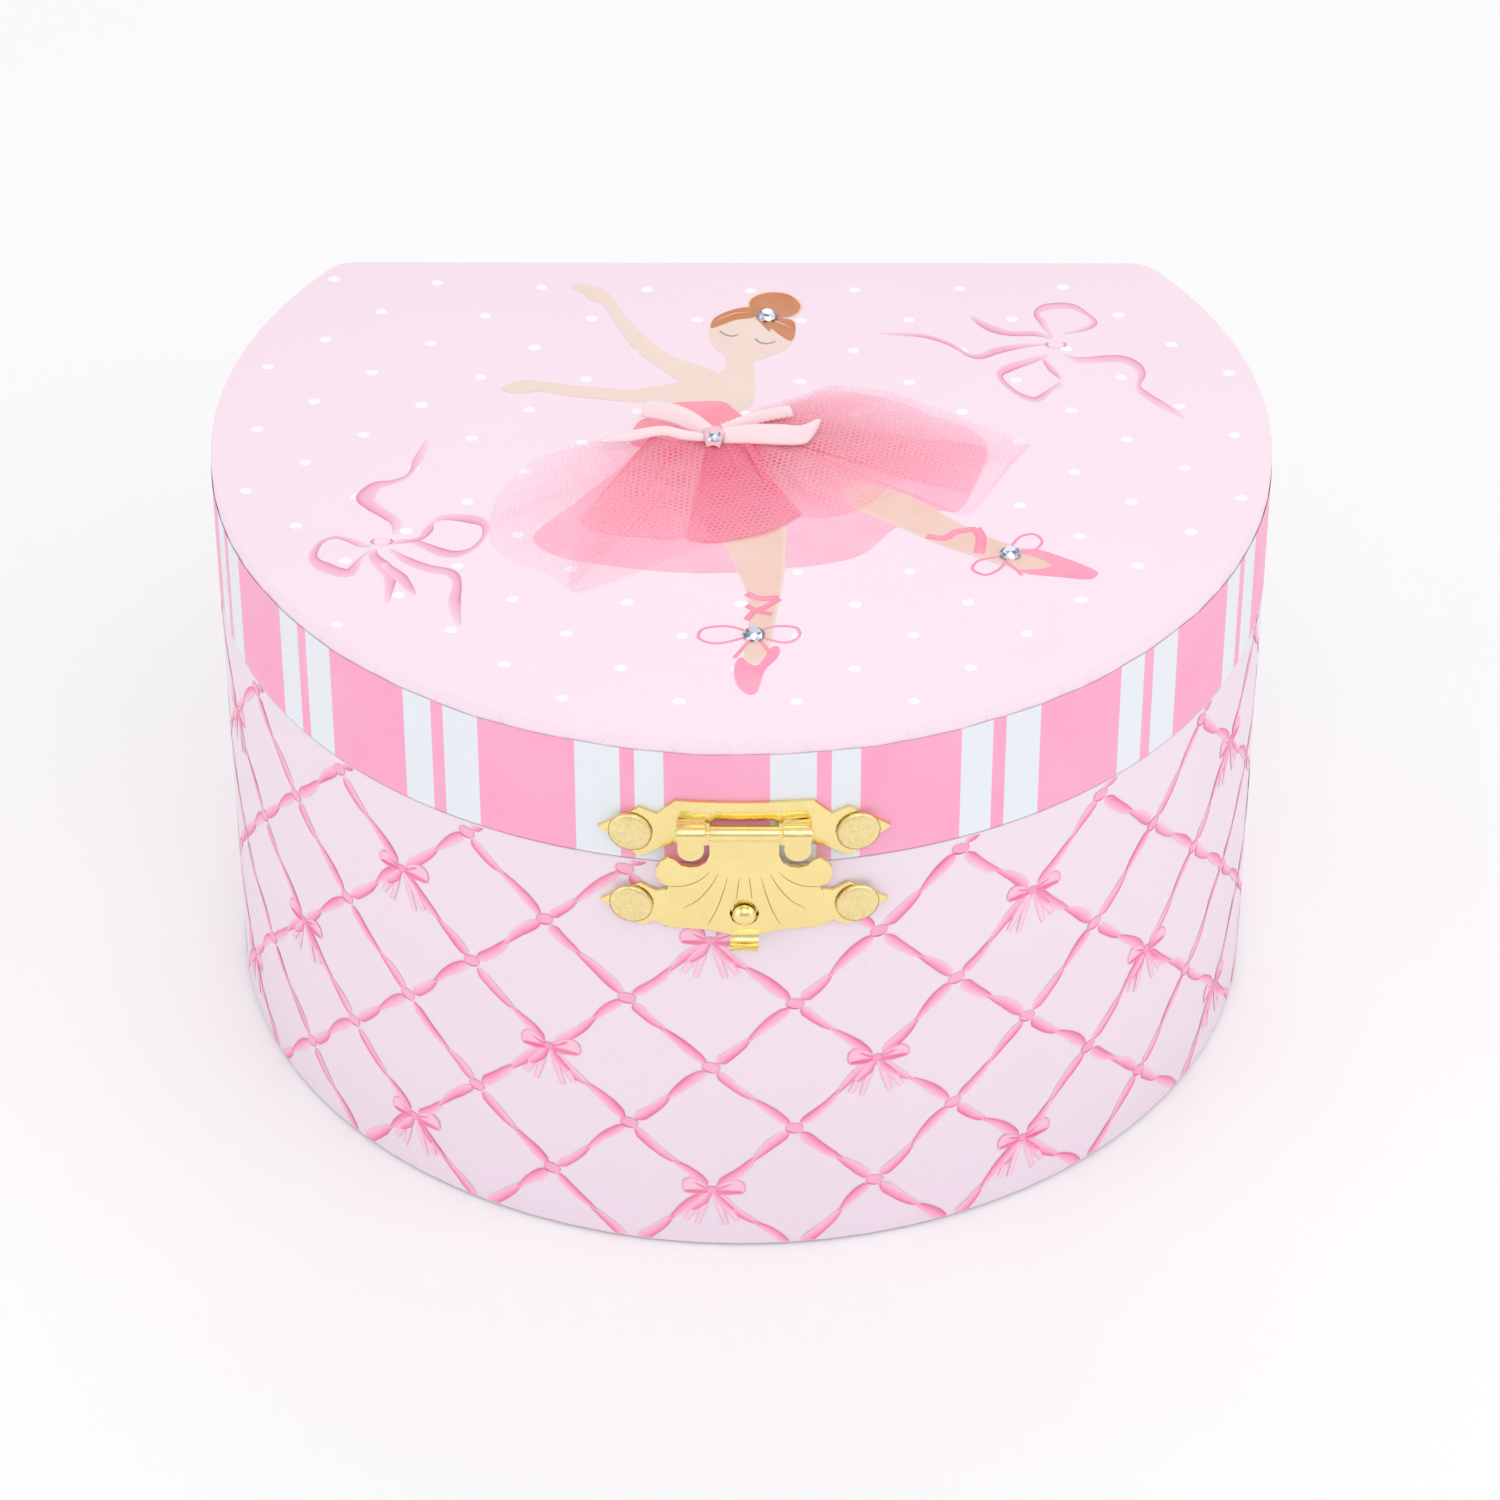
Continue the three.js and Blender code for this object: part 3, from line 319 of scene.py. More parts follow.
def velvet(name, colour):
    g = Graph(name)
    pile = g.noise(4200.0, 2.0)
    nap = g.noise(90.0, 3.0)
    tone = g.mix(g.ramp(nap, 0.0, 1.0, 0.35, 0.65), colour, tint(colour, 0.8))
    g.set(Base_Color=g.mix(g.ramp(pile, 0.0, 0.35), tone, tint(colour, 0.62)), Roughness=0.95)
    g.set(Sheen_Weight=0.8, Sheen_Roughness=0.35, Sheen_Tint=(1.0, 0.86, 0.92, 1.0))
    return g.set(Normal=g.bump(pile, 0.00012, 0.6)).material


def weave_height(g, vector, pitch):
    """Over-and-under threads, pitch apart, on coordinates in millimetres."""
    u, v, _ = g.split(vector)
    wave_u = g.math("SINE", g.times(u, 2 * math.pi / pitch))
    wave_v = g.math("SINE", g.times(v, 2 * math.pi / pitch))
    return g.times(wave_u, wave_v)


def cloth_finish(name, colour, pitch):
    g = Graph(name)
    threads = weave_height(g, g.node("ShaderNodeUVMap", uv_map="cut"), pitch)
    tone = g.mix(g.ramp(threads, 0.0, 0.4, -1.0, 1.0), colour, tint(colour, 0.82))
    g.set(Base_Color=g.mix(g.ramp(g.noise(120.0), 0.0, 0.25), tone, tint(colour, 0.9)), Roughness=0.75)
    return g.set(Normal=g.bump(threads, 0.00004, 0.6), Sheen_Weight=0.3, Specular_IOR_Level=0.2).material


def net_threads(g, u, v, pitch, turn):
    """1 on the threads of a honeycomb net, 0 in its holes, on flat coordinates in millimetres."""
    k = 4 * math.pi / (math.sqrt(3) * pitch)
    waves = []
    for angle in (turn, turn + math.pi / 3, turn + 2 * math.pi / 3):
        along = g.math("MULTIPLY_ADD", u, k * math.cos(angle), g.times(v, k * math.sin(angle)))
        waves.append(g.math("COSINE", along))
    holes = g.plus(g.plus(waves[0], waves[1]), waves[2])
    return g.ramp(holes, 1.0, 0.0, -0.9, 0.9)


def net_finish(name, colour, body, pitch):
    """Tulle of one colour. body is how far its holes are closed."""
    g = Graph(name)
    u, v, _ = g.split(g.node("ShaderNodeUVMap", uv_map="cut"))
    threads = net_threads(g, u, v, pitch, 0.0)
    tone = g.mix(g.noise(35.0, 3.0), colour, tint(colour, 0.86))
    g.set(Base_Color=tone, Roughness=0.8, Alpha=g.ramp(threads, body, 0.8))
    return g.set(Sheen_Weight=0.35, Sheen_Tint=(1.0, 0.8, 0.86, 1.0)).material


def plastic_finish(name, colour_of):
    g = Graph(name)
    g.set(Base_Color=colour_of(g), Roughness=g.ramp(g.noise(300.0), 0.27, 0.4))
    return g.set(Normal=g.bump(g.noise(500.0, 2.0), 0.00004, 0.4), Subsurface_Weight=0.05).material


def mirror_finish():
    g = Graph("mirror_silver")
    tone = g.mix(g.noise(18.0, 2.0), (0.9, 0.93, 0.94, 1.0), (0.86, 0.9, 0.92, 1.0))
    return g.set(Base_Color=tone, Metallic=1.0, Roughness=g.ramp(g.noise(150.0), 0.01, 0.04)).material


def frosted_brass():
    """The rivets' faces are stamped with a fine grain."""
    g = Graph("frosted_brass")
    grain = g.noise(1900.0, 4.0, rough=0.7)
    tone = g.mix(g.ramp(grain, 0.0, 1.0, 0.35, 0.68), linear("F8E7AE"), linear("ECD592"))
    g.set(Base_Color=tone, Metallic=1.0, Roughness=g.ramp(grain, 0.3, 0.46))
    return g.set(Normal=g.bump(grain, 0.00007, 0.6)).material


FINISH = {
    "wrap": paper("wall_paper", plain(WALL_PINK)),
    "stripe": paper("rim_paper", stripes),
    "lid_paper": paper("lid_paper", plain(LID_PINK)),
    "lining_paper": paper("lining_paper", plain(LINING_PINK), 0.6),
    "board": paper("grey_card", plain(linear("CFC4B8")), 0.8),
    "brass": brass_finish("latch_brass"),
    "steel": metal_finish("drawn_steel", (0.62, 0.63, 0.65, 1.0), 0.28),
    "zinc": metal_finish("cast_zinc", (0.45, 0.46, 0.48, 1.0), 0.45, (1.0, 1.0, 1.0)),
    "mirror": mirror_finish(),
    "white_plastic": plastic_finish("moulded_white", plain(linear("F7F2F0"))),
    "velvet": velvet("pink_velvet", linear("F19DBE")),
    "figure_plastic": plastic_finish("painted_plastic", painted),
}
PRINT = printed()


# ---- mesh helpers ----
WELD_GAP = 1e-6


def paint(data, colours):
    layer = data.color_attributes.new("Col", "FLOAT_COLOR", "POINT")
    layer.data.foreach_set("color", np.asarray(colours, np.float32).ravel())


def mesh_object(name, points, faces, material, body=None, colours=None, cut=None, smooth=True):
    """An object from points in metres. colours are per point, and cut is each point's place in the flat
    cloth, in millimetres."""
    data = bpy.data.meshes.new(name)
    data.from_pydata([tuple(p) for p in points], [], faces)
    if colours is not None:
        paint(data, colours)
    if cut is not None:
        layer = data.uv_layers.new(name="cut")
        index = np.empty(len(data.loops), int)
        data.loops.foreach_get("vertex_index", index)
        layer.data.foreach_set("uv", np.asarray(cut, np.float32)[index].ravel())
    data.polygons.foreach_set("use_smooth", [smooth] * len(data.polygons))
    data.materials.append(material)
    obj = bpy.data.objects.new(name, data)
    scene.collection.objects.link(obj)
    if body:
        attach(obj, body)
    return obj


def modify(obj, kind, **settings):
    modifier = obj.modifiers.new(kind.lower(), kind)
    for key, value in settings.items():
        setattr(modifier, key, value)


def apply_modifiers(obj):
    bpy.context.view_layer.update()
    evaluated = obj.evaluated_get(bpy.context.evaluated_depsgraph_get())
    obj.data = bpy.data.meshes.new_from_object(evaluated)
    obj.modifiers.clear()


def set_material(obj, material):
    obj.data.materials.clear()
    obj.data.materials.append(material)


def shade_smooth(obj):
    for face in obj.data.polygons:
        face.use_smooth = True


def grid_faces(rows, columns, wrap=False):
    faces = []
    for i in range(rows - 1):
        here, above = i * columns, (i + 1) * columns
        for j in range(columns if wrap else columns - 1):
            k = (j + 1) % columns
            faces.append((here + j, here + k, above + k, above + j))
    return faces


def tube_faces(rows, sides):
    """Faces round a tube, closed at both ends."""
    ends = [tuple(reversed(range(sides))), tuple(range((rows - 1) * sides, rows * sides))]
    return grid_faces(rows, sides, wrap=True) + ends


def spread(values, samples):
    """Values read off at even steps, straight between the ones given. A single number stays the same."""
    values = np.atleast_1d(values)
    return np.interp(np.linspace(0, 1, samples), np.linspace(0, 1, len(values)), values)


def oval(x, y, half_width, half_height):
    angles = np.linspace(0, 2 * math.pi, 9)[:-1]
    return [(x + half_width * math.cos(a), y + half_height * math.sin(a)) for a in angles]


def spline(points, samples, closed=False):
    """Points spaced along a Catmull-Rom curve through the given points."""
    pts = np.asarray(points, float)
    n = len(pts)
    spans = n if closed else n - 1
    out = []
    for s in np.linspace(0, spans, samples, endpoint=not closed):
        i = min(int(s), spans - 1)
        t = s - i
        if closed:
            p0, p1, p2, p3 = (pts[(i + k) % n] for k in (-1, 0, 1, 2))
        else:
            p0, p1, p2, p3 = (pts[min(max(i + k, 0), n - 1)] for k in (-1, 0, 1, 2))
        a = 2 * p1 + (p2 - p0) * t
        b = (2 * p0 - 5 * p1 + 4 * p2 - p3) * t * t
        out.append(0.5 * (a + b + (3 * p1 - p0 - 3 * p2 + p3) * t**3))
    return np.array(out)


# ---- the CAD pieces that stay ----
SMOOTH_ANGLE = math.radians(32)
# How far each piece's edges are rounded off, in millimetres.
BEVEL = {"lid_top_board": 0.9, "lid_rim": 0.35, "case_wall": 0.5, "case_lining": 0.3, "winding_key": 0.35}
SMALL_BEVEL = 0.12
RIVET_BEVEL = 0.3
RIVET = frosted_brass()
SLOT_OF = {part["node"]: part["material_slot"] for part in frame["record"]["subparts"]}


def dress(node, material, bevel):
    """A CAD node keeps its vertices: modifiers weld, soften its edges and smooth its round faces."""
    obj = frame["nodes"][node]
    set_material(obj, material)
    if "custom_normal" in obj.data.attributes:
        obj.data.attributes.remove(obj.data.attributes["custom_normal"])
    for face in obj.data.polygons:
        face.material_index = 0
    shade_smooth(obj)
    modify(obj, "WELD", merge_threshold=WELD_GAP)
    modify(obj, "BEVEL", width=bevel * MM, segments=3, limit_method="ANGLE", angle_limit=SMOOTH_ANGLE)
    modify(obj, "EDGE_SPLIT", split_angle=SMOOTH_ANGLE)


for node_name, slot_name in SLOT_OF.items():
    if "rivet" in node_name:
        dress(node_name, RIVET, RIVET_BEVEL)
    elif slot_name in FINISH:
        dress(node_name, FINISH[slot_name], BEVEL.get(node_name, SMALL_BEVEL))


# ---- printed art: flat shapes in layers, then laid on a surface ----
class Sheet:
    """Flat coloured shapes. Each later layer is a hair higher, as ink over ink, by LIFT millimetres. Shapes
    of one layer differ by STEP, so that none lies level with its neighbour."""

    LIFT = 0.004
    STEP = 0.0003
    STEPS = 12

    def __init__(self):
        self.points, self.heights, self.colours, self.faces = [], [], [], []
        self.count = 0

    def _add(self, points, colours, faces, layer):
        base = len(self.points)
        self.count = (self.count + 1) % self.STEPS
        self.points.extend((float(p[0]), float(p[1])) for p in points)
        rise = np.linspace(0, 0.6 * self.STEP, len(points))
        self.heights.extend(layer * self.LIFT + self.count * self.STEP + rise)
        self.colours.extend(tuple(c) for c in colours)
        self.faces.extend(tuple(base + k for k in face) for face in faces)

    def blob(self, outline, colour, layer, samples, edge):
        """A filled smooth outline; edge tints its rim."""
        ring = spline(outline, samples, closed=True)
        centre = ring.mean(0)
        inner = centre + (ring - centre) * 0.82
        tris = tessellate_polygon([[Vector((*p, 0)) for p in inner]])
        faces = [(i, (i + 1) % samples, samples + (i + 1) % samples, samples + i) for i in range(samples)]
        faces += [tuple(samples + k for k in tri) for tri in tris]
        self._add(np.vstack([ring, inner]), [edge] * samples + [colour] * samples, faces, layer)

    def plain_blob(self, outline, colour, layer, samples):
        """A filled smooth outline of one colour."""
        ring = spline(outline, samples, closed=True)
        tris = tessellate_polygon([[Vector((*p, 0)) for p in ring]])
        self._add(ring, [colour] * samples, [tuple(t) for t in tris], layer)

    def stroke(self, path, width, middle, edge, layer, samples, across, other=None, bite=2.2, ground=None):
        """A ribbon along a path. width is one number or a list spread along it. Its left side takes the
        colour edge, and its right side the colour other, or edge again; bite is how narrow that edge is. Its
        ends fade into the colour ground."""
        line = spline(path, samples)
        heading = np.gradient(line, axis=0)
        heading /= np.maximum(np.linalg.norm(heading, axis=1), 1e-9)[:, None]
        side = np.stack([-heading[:, 1], heading[:, 0]], 1)
        widths = spread(width, samples)
        points, colours = [], []
        for i in range(samples):
            for j in range(across):
                s = 2 * j / (across - 1) - 1
                points.append(line[i] + side[i] * s * widths[i] / 2)
                rim = edge if s > 0 or other is None else other
                blend = abs(s) ** bite
                colour = tuple(m + (e - m) * blend for m, e in zip(middle, rim))
                if ground:
                    dry = 0.6 * max(0.0, 1 - 5 * min(i, samples - 1 - i) / samples)
                    colour = tuple(c + (p - c) * dry for c, p in zip(colour, ground))
                colours.append(colour)
        self._add(points, colours, grid_faces(samples, across), layer)

    def clip(self, axis, limit, keep_below):
        """Cuts off what lies beyond a straight line, as paper is trimmed."""
        shape = bmesh.new()
        ink = shape.verts.layers.float_color.new("ink")
        verts = []
        for point, height, colour in zip(self.points, self.heights, self.colours):
            vert = shape.verts.new((*point, height))
            vert[ink] = colour
            verts.append(vert)
        for face in self.faces:
            shape.faces.new([verts[k] for k in face])
        plane = Vector((0, 0, 0))
        plane[axis] = limit
        normal = Vector((0, 0, 0))
        normal[axis] = 1.0
        cut = dict(plane_co=plane, plane_no=normal, clear_outer=keep_below, clear_inner=not keep_below)
        bmesh.ops.bisect_plane(shape, geom=shape.verts[:] + shape.edges[:] + shape.faces[:], **cut)
        shape.verts.index_update()
        self.points = [tuple(v.co[:2]) for v in shape.verts]
        self.heights = [v.co[2] for v in shape.verts]
        self.colours = [tuple(v[ink]) for v in shape.verts]
        self.faces = [tuple(v.index for v in face.verts) for face in shape.faces]
        shape.free()

    def lay(self, name, place, body, material=PRINT):
        """place(x, y, height) gives each point's place in metres."""
        points = [place(x, y, h) for (x, y), h in zip(self.points, self.heights)]
        mesh_object(name, points, self.faces, material, body, self.colours)


# ---- printed trellis of ribbons and bows round the wall ----
def outline_table():
    """How far along each place is, then its x, y and outward angle, round the plan from the front's middle
    to the right and on to the back's middle."""
    cx, cy = math.sqrt((RADIUS - CORNER) ** 2 - (BACK_Y - CORNER) ** 2), BACK_Y - CORNER
    turn = math.atan2(cy, cx)
    rows = []
    for angle in np.linspace(-math.pi / 2, turn, 300):
        rows.append((RADIUS * math.cos(angle), RADIUS * math.sin(angle), angle))
    for angle in np.linspace(turn, math.pi / 2, 14)[1:]:
        rows.append((cx + CORNER * math.cos(angle), cy + CORNER * math.sin(angle), angle))
    for x in np.linspace(cx, 0, 60)[1:]:
        rows.append((x, BACK_Y, math.pi / 2))
    table = np.array(rows)
    steps = np.linalg.norm(np.diff(table[:, :2], axis=0), axis=1)
    return np.concatenate([[0], np.cumsum(steps)]), table


ON_PAPER = 0.02  # how far the ink stands off the wall
OUTLINE_LENGTH, OUTLINE = outline_table()
HALF_ROUND = OUTLINE_LENGTH[-1]


def on_wall(u, z, height):
    """u runs round the wall from the front's middle, to the right."""
    side = 1 if u >= 0 else -1
    x, y, angle = (np.interp(abs(u), OUTLINE_LENGTH, OUTLINE[:, k]) for k in range(3))
    out = ON_PAPER + height
    return at(side * (x + out * math.cos(angle)), y + out * math.sin(angle), z)


RIBBON_MID = linear("FBA0C4")
RIBBON_LINE = linear("E8548C")
RIBBON_SOFT = linear("FBC4DC")
RIBBON_DEEP = linear("EE5A90")
KNOT_PINK = linear("F8A6C7")
KNOT_EDGE = linear("F285AE")
LOOP_PINK = linear("FABED7")
LOOP_EDGE = linear("F083AE")
FAINT_PINK = linear("F7CCE1")
FAINT_EDGE = linear("F3A6C9")
KNOT_STEP = (12.2, 11.8)
KNOT_START = (-4.2, 11.1)
# The print repeats every four knots. Beyond EXACT it is drawn in slightly, so that its ends meet at the
# back.
REPEAT = 4
EXACT = 100.0
KNOTS_ROUND = REPEAT * round(2 * HALF_ROUND / (REPEAT * KNOT_STEP[0]))


def drawn_in(u):
    """Where the print's own distance u ends up round the wall."""
    if abs(u) <= EXACT:
        return u
    side = 1 if u > 0 else -1
    half = KNOTS_ROUND / 2 * KNOT_STEP[0] + side * KNOT_START[0]
    return side * (EXACT + (abs(u) - EXACT) * (HALF_ROUND - EXACT) / (half - EXACT))


def trellis():
    """Ribbons cross the wall slantwise between staggered knots, and every fourth knot is a bow."""
    sheet = Sheet()
    columns = KNOTS_ROUND // 2
    for i in range(-columns, columns + 1):
        for j in range(-1, 6):
            if (i + j) % 2:
                continue
            u, z = KNOT_START[0] + i * KNOT_STEP[0], KNOT_START[1] + j * KNOT_STEP[1]
            rng = random.Random(100 * (i % KNOTS_ROUND) + j + 5)
            for rise in (1, -1):
                if i < columns:
                    ribbon_between(sheet, rng, (u, z), (u + KNOT_STEP[0], z + rise * KNOT_STEP[1]))
            if i % 2 == 0 and j % 2 == 0 and (i // 2 + j // 2) % 2 == 0:
                wall_bow(sheet, rng, u, z)
            else:
                wall_knot(sheet, rng, u, z)
    sheet.points = [(drawn_in(u), z) for u, z in sheet.points]
    sheet.clip(0, HALF_ROUND - 0.02, True)
    sheet.clip(0, -HALF_ROUND + 0.02, False)
    sheet.clip(1, SEAM_Z - 0.25, True)
    sheet.clip(1, 0.8, False)
    sheet.lay("printed_trellis", on_wall, "case")


def ribbon_between(sheet, rng, start, end):
    """A ribbon that turns over once on its way from knot to knot, so its dark side changes sides there."""
    start, end = np.array(start), np.array(end)
    along = end - start
    side = np.array([-along[1], along[0]]) / np.linalg.norm(along)
    twist = 0.5 + rng.uniform(-0.1, 0.1)
    sway = rng.uniform(0.1, 0.35)
    wide = rng.uniform(1.5, 2.0)
    dark_first = rng.random() < 0.7
    left = 1 - twist
    before = ((0.08, 0.0), (twist * 0.35, -sway * 0.8), (twist * 0.7, -sway), (twist + 0.03, 0.1))
    after = ((twist - 0.03, -0.1), (twist + left * 0.35, sway), (twist + left * 0.7, sway * 0.7), (0.93, 0.0))
    widths = ([0.5, wide, wide * 0.9, wide * 0.75, 0.35], [0.35, wide * 0.75, wide, wide * 0.85, 0.6])
    for places, width, dark_right in zip((before, after), widths, (dark_first, not dark_first)):
        path = [start + along * t + side * s for t, s in places]
        sides = (RIBBON_SOFT, RIBBON_LINE) if dark_right else (RIBBON_LINE, RIBBON_SOFT)
        sheet.stroke(path, width, RIBBON_MID, sides[0], 1, 18, 7, sides[1], 1.15)


def wall_knot(sheet, rng, u, z):
    """The ribbons cross under a small rounded wrap."""
    tilt = rng.uniform(-0.35, 0.35)
    ring = [(1.35, 0.1), (0.9, 0.85), (-0.2, 0.95), (-1.2, 0.6), (-1.3, -0.4), (-0.5, -0.95), (0.7, -0.85)]
    turn = np.array([[math.cos(tilt), -math.sin(tilt)], [math.sin(tilt), math.cos(tilt)]])
    sheet.blob([turn @ np.array(p) + (u, z) for p in ring], KNOT_PINK, 3, 24, KNOT_EDGE)
    under = [turn @ np.array(p) + (u, z) for p in ((-1.15, -0.45), (-0.3, -0.85), (0.8, -0.75))]
    sheet.stroke(under, [0.1, 0.32, 0.1], RIBBON_LINE, RIBBON_LINE, 4, 10, 3)


def wall_bow(sheet, rng, u, z):
    """A small knot, two loops dark along the foot and pale above, two strong tails and four faint ones."""

    def beside(side, *places):
        return [(u + side * x, z + y) for x, y in places]

    for side in (-1, 1):
        lift = rng.uniform(-0.25, 0.35)
        grow = 1.04 if side > 0 else 0.9
        far = [x * grow for x in (1.6, 3.6, 4.8, 4.5, 2.2)]
        for reach, drop, shade in ((2.2, 6.8, 1.0), (3.9, 6.0, 1.3)):
            tail = beside(side, (0.3, -0.6), (reach * 0.5, -drop * 0.45), (reach, -drop))
            sheet.stroke(tail, [0.4, shade, 0.8], FAINT_PINK, FAINT_EDGE, 2, 16, 5)
        tail = beside(side, (0.2, -0.3), (1.3, -2.2), (3.1, -3.9))
        sheet.stroke(tail, [0.6, 1.5, 0.8], RIBBON_MID, RIBBON_LINE, 2, 16, 5, RIBBON_SOFT, 1.2)
        top = [(far[0], 1.4 + lift), (far[1], 2.0 + lift), (far[2], 1.0 + lift)]
        loop = beside(side, (0.4, 0.1), *top, (far[3], -0.6), (far[4], -0.7))
        sheet.blob(loop, LOOP_PINK, 3, 40, LOOP_EDGE)
        foot = beside(side, (0.5, -0.2), (2.2 * grow, -0.4), (4.4 * grow, -0.35))
        sheet.stroke(foot, [0.6, 1.15, 0.5], RIBBON_DEEP, RIBBON_MID, 4, 16, 5)
        crease = beside(side, (0.6, 0.2), (1.7 * grow, 0.6 + lift * 0.5), (2.9 * grow, 1.1 + lift))
        sheet.stroke(crease, [0.6, 0.5, 0.06], RIBBON_DEEP, RIBBON_MID, 5, 14, 3)
    ring = beside(1, (0.72, 0), (0.45, 0.6), (-0.2, 0.7), (-0.72, 0.15), (-0.45, -0.55), (0.35, -0.6))
    sheet.blob(ring, linear("F795BC"), 6, 18, RIBBON_DEEP)


trellis()


STRIP_THICKNESS = 0.05
# Painted shade: the tucks where the lid's paper turns over are darker pink lines, for the shade in their creases.
TUCK_SHADE_PINK = linear("EFC6DC")
TUCK_SHADE_EDGE = linear("F6D9E9")


def rim_paper():
    """The striped strip round the rim, up to just under the lid's edge, where the lid's paper turns over."""
    low, high, rows = SEAM_Z + 0.35, LID_Z - 2.6, 3
    places = np.linspace(-HALF_ROUND, HALF_ROUND, 601)[:-1]
    rng = random.Random(11)
    points = []
    for i in range(rows):
        for u in places:
            ragged = 0.06 * math.sin(u * 0.21) + 0.05 * math.sin(u * 0.53 + 1) if i == rows - 1 else 0.0
            points.append(on_wall(u, low + (high - low) * i / (rows - 1) + ragged, STRIP_THICKNESS))
    obj = mesh_object("rim_paper", points, grid_faces(rows, len(places), wrap=True), FINISH["stripe"], "lid")
    sheet = Sheet()
    for k in range(-20, 21):
        u = k * 11.3 + rng.uniform(-3, 3)
        lean = rng.uniform(-1.2, 1.2)
        if abs(u) < HALF_ROUND - 6:
            path = [(u, high - 0.02), (u + lean * 0.4, high + 0.9), (u + lean, LID_Z - 0.95)]
            # Each tuck's crease is drawn as a line of painted shade.
            sheet.stroke(path, [0.12, 0.09, 0.03], TUCK_SHADE_PINK, TUCK_SHADE_EDGE, 1, 8, 3)
    sheet.lay("rim_tucks_painted_shade", on_wall, "lid")


rim_paper()

# ---- printed lid: dots, the dancer and two bows ----
SKIN = linear("EED5C8")
LEG_SKIN = linear("EFC5B7")
HAIR = linear("C77536")
HAIR_LINE = linear("FBCDB0")
CHEEK = linear("F6CBD0")
LASH = linear("99828A")
SLIPPER = linear("FB94B4")
SLIPPER_DEEP = linear("F67F9F")
BODICE = linear("FC8FA6")
UNDERSKIRT = linear("FBB6CE")
DOT = linear("FCF7FC")
# From dot to dot along a row, and from row to row.
DOT_STEP_X = (16.43, -0.16)
DOT_STEP_Y = (8.09, -8.77)
DOT_START = (-15.2, 38.6)
DOT_BOW = 0.00064  # the rows of dots bow a little: how far back they lie, per mm2 from the middle

ARM_RAISED = [
    (-26.8, 41.3), (-23.2, 40.7), (-21.0, 38.3), (-18.7, 33.0), (-15.5, 26.4), (-11.1, 20.3),
    (-4.0, 15.5), (-3.7, 13.0), (-8.7, 12.2), (-12.9, 17.0), (-17.0, 22.7), (-20.2, 31.1), (-22.0, 35.4),
    (-24.0, 36.5), (-25.0, 38.5), (-26.4, 39.7),
]
ARM_FRONT = [
    (-36.8, 10.4), (-35.1, 12.2), (-32.5, 12.9), (-26.3, 11.6), (-20.9, 10.8), (-15.5, 10.6),
    (-8.7, 12.7), (-3.3, 14.5), (-1.8, 10.5), (-3.3, 6.6), (-10.9, 6.6), (-18.5, 7.1), (-26.2, 8.5),
    (-30.8, 9.8), (-34.0, 9.2),
]
TORSO = [
    (-8.7, 13.1), (-3.6, 15.2), (-2.3, 17.4), (-2.3, 20.6), (1.3, 20.0), (1.9, 15.6), (2.0, 9.8),
    (0.9, 5.0), (-3.3, 4.0), (-8.9, 5.0), (-11.3, 6.5),
]
HEAD = [
    (-5.2, 26.4), (-4.5, 29.7), (-1.9, 32.0), (1.6, 32.7), (5.5, 31.3), (7.8, 27.9), (7.8, 24.6),
    (6.6, 22.0), (4.1, 19.9), (1.8, 18.7), (0.0, 18.7), (-2.4, 20.2), (-4.4, 23.0),
]
BUN = [
    (0.8, 35.3), (1.7, 37.7), (4.3, 39.1), (7.5, 38.3), (9.4, 35.1), (8.6, 32.1), (6.3, 30.9),
    (3.6, 31.0), (1.6, 32.5),
]
HAIR_LEFT = [
    (-4.9, 28.2), (-4.3, 31.2), (-1.9, 33.4), (1.0, 34.4), (2.3, 32.7), (1.5, 31.2), (-1.1, 30.5),
    (-3.1, 29.1),
]
HAIR_RIGHT = [
    (1.9, 32.3), (4.4, 31.3), (7.7, 30.6), (8.3, 27.6), (7.6, 24.4), (5.7, 26.3), (4.5, 28.0),
    (4.3, 27.1), (3.2, 29.0),
]
BODICE_SHAPE = [
    (-11.6, 6.2), (-8.0, 6.9), (-3.0, 7.0), (-1.2, 4.9), (0.5, 2.2), (1.5, -1.5), (-1.7, -6.0),
    (-9.0, -7.0), (-16.5, -5.0), (-15.8, 0.8), (-13.4, 3.2),
]
LEG_STANDING = [
    (-3.2, -24.0), (5.8, -24.0), (6.5, -34.2), (6.2, -40.6), (5.2, -49.5), (4.4, -56.3), (3.4, -60.9),
    (0.7, -61.2), (0.9, -55.7), (1.3, -49.5), (0.7, -43.2), (-0.8, -36.8),
]
LEG_RAISED = [
    (17.0, -15.0), (24.3, -18.4), (30.8, -24.7), (35.8, -29.2), (39.8, -31.9), (44.4, -34.4),
    (47.9, -36.7), (46.7, -39.2), (41.3, -38.5), (37.8, -37.0), (33.5, -34.4), (28.5, -31.3),
    (22.7, -26.6), (15.5, -20.5),
]
SHOE_STANDING = [
    (-0.6, -61.6), (0.2, -60.2), (1.2, -61.6), (2.4, -62.2), (3.4, -60.6), (4.3, -57.9), (5.6, -57.7),
    (5.4, -60.1), (3.6, -63.3), (2.9, -66.7), (2.3, -68.9), (1.0, -69.1), (-0.3, -67.0), (-0.8, -63.9),
]
SHOE_RAISED = [
    (40.2, -33.4), (43.0, -32.8), (46.6, -34.7), (50.0, -37.0), (51.9, -39.0), (50.4, -40.6),
    (46.3, -40.0), (42.0, -39.3), (40.5, -38.2), (43.4, -38.0), (45.2, -36.9), (43.0, -35.0),
]
UNDERSKIRT_SHAPE = [
    (-12.5, -3.5), (-18.5, -12.0), (-25.0, -21.5), (-30.4, -29.8), (-26.4, -35.0), (-18.2, -37.4),
    (-10.2, -38.9), (-2.9, -39.1), (4.3, -38.1), (11.6, -36.9), (17.8, -34.2), (22.7, -27.4),
    (28.6, -22.9), (32.3, -22.6), (35.4, -13.6), (36.8, -6.6), (32.9, -4.2), (25.4, -3.0), (19.5, -1.0),
    (13.4, 1.2), (2.8, 1.4),
]
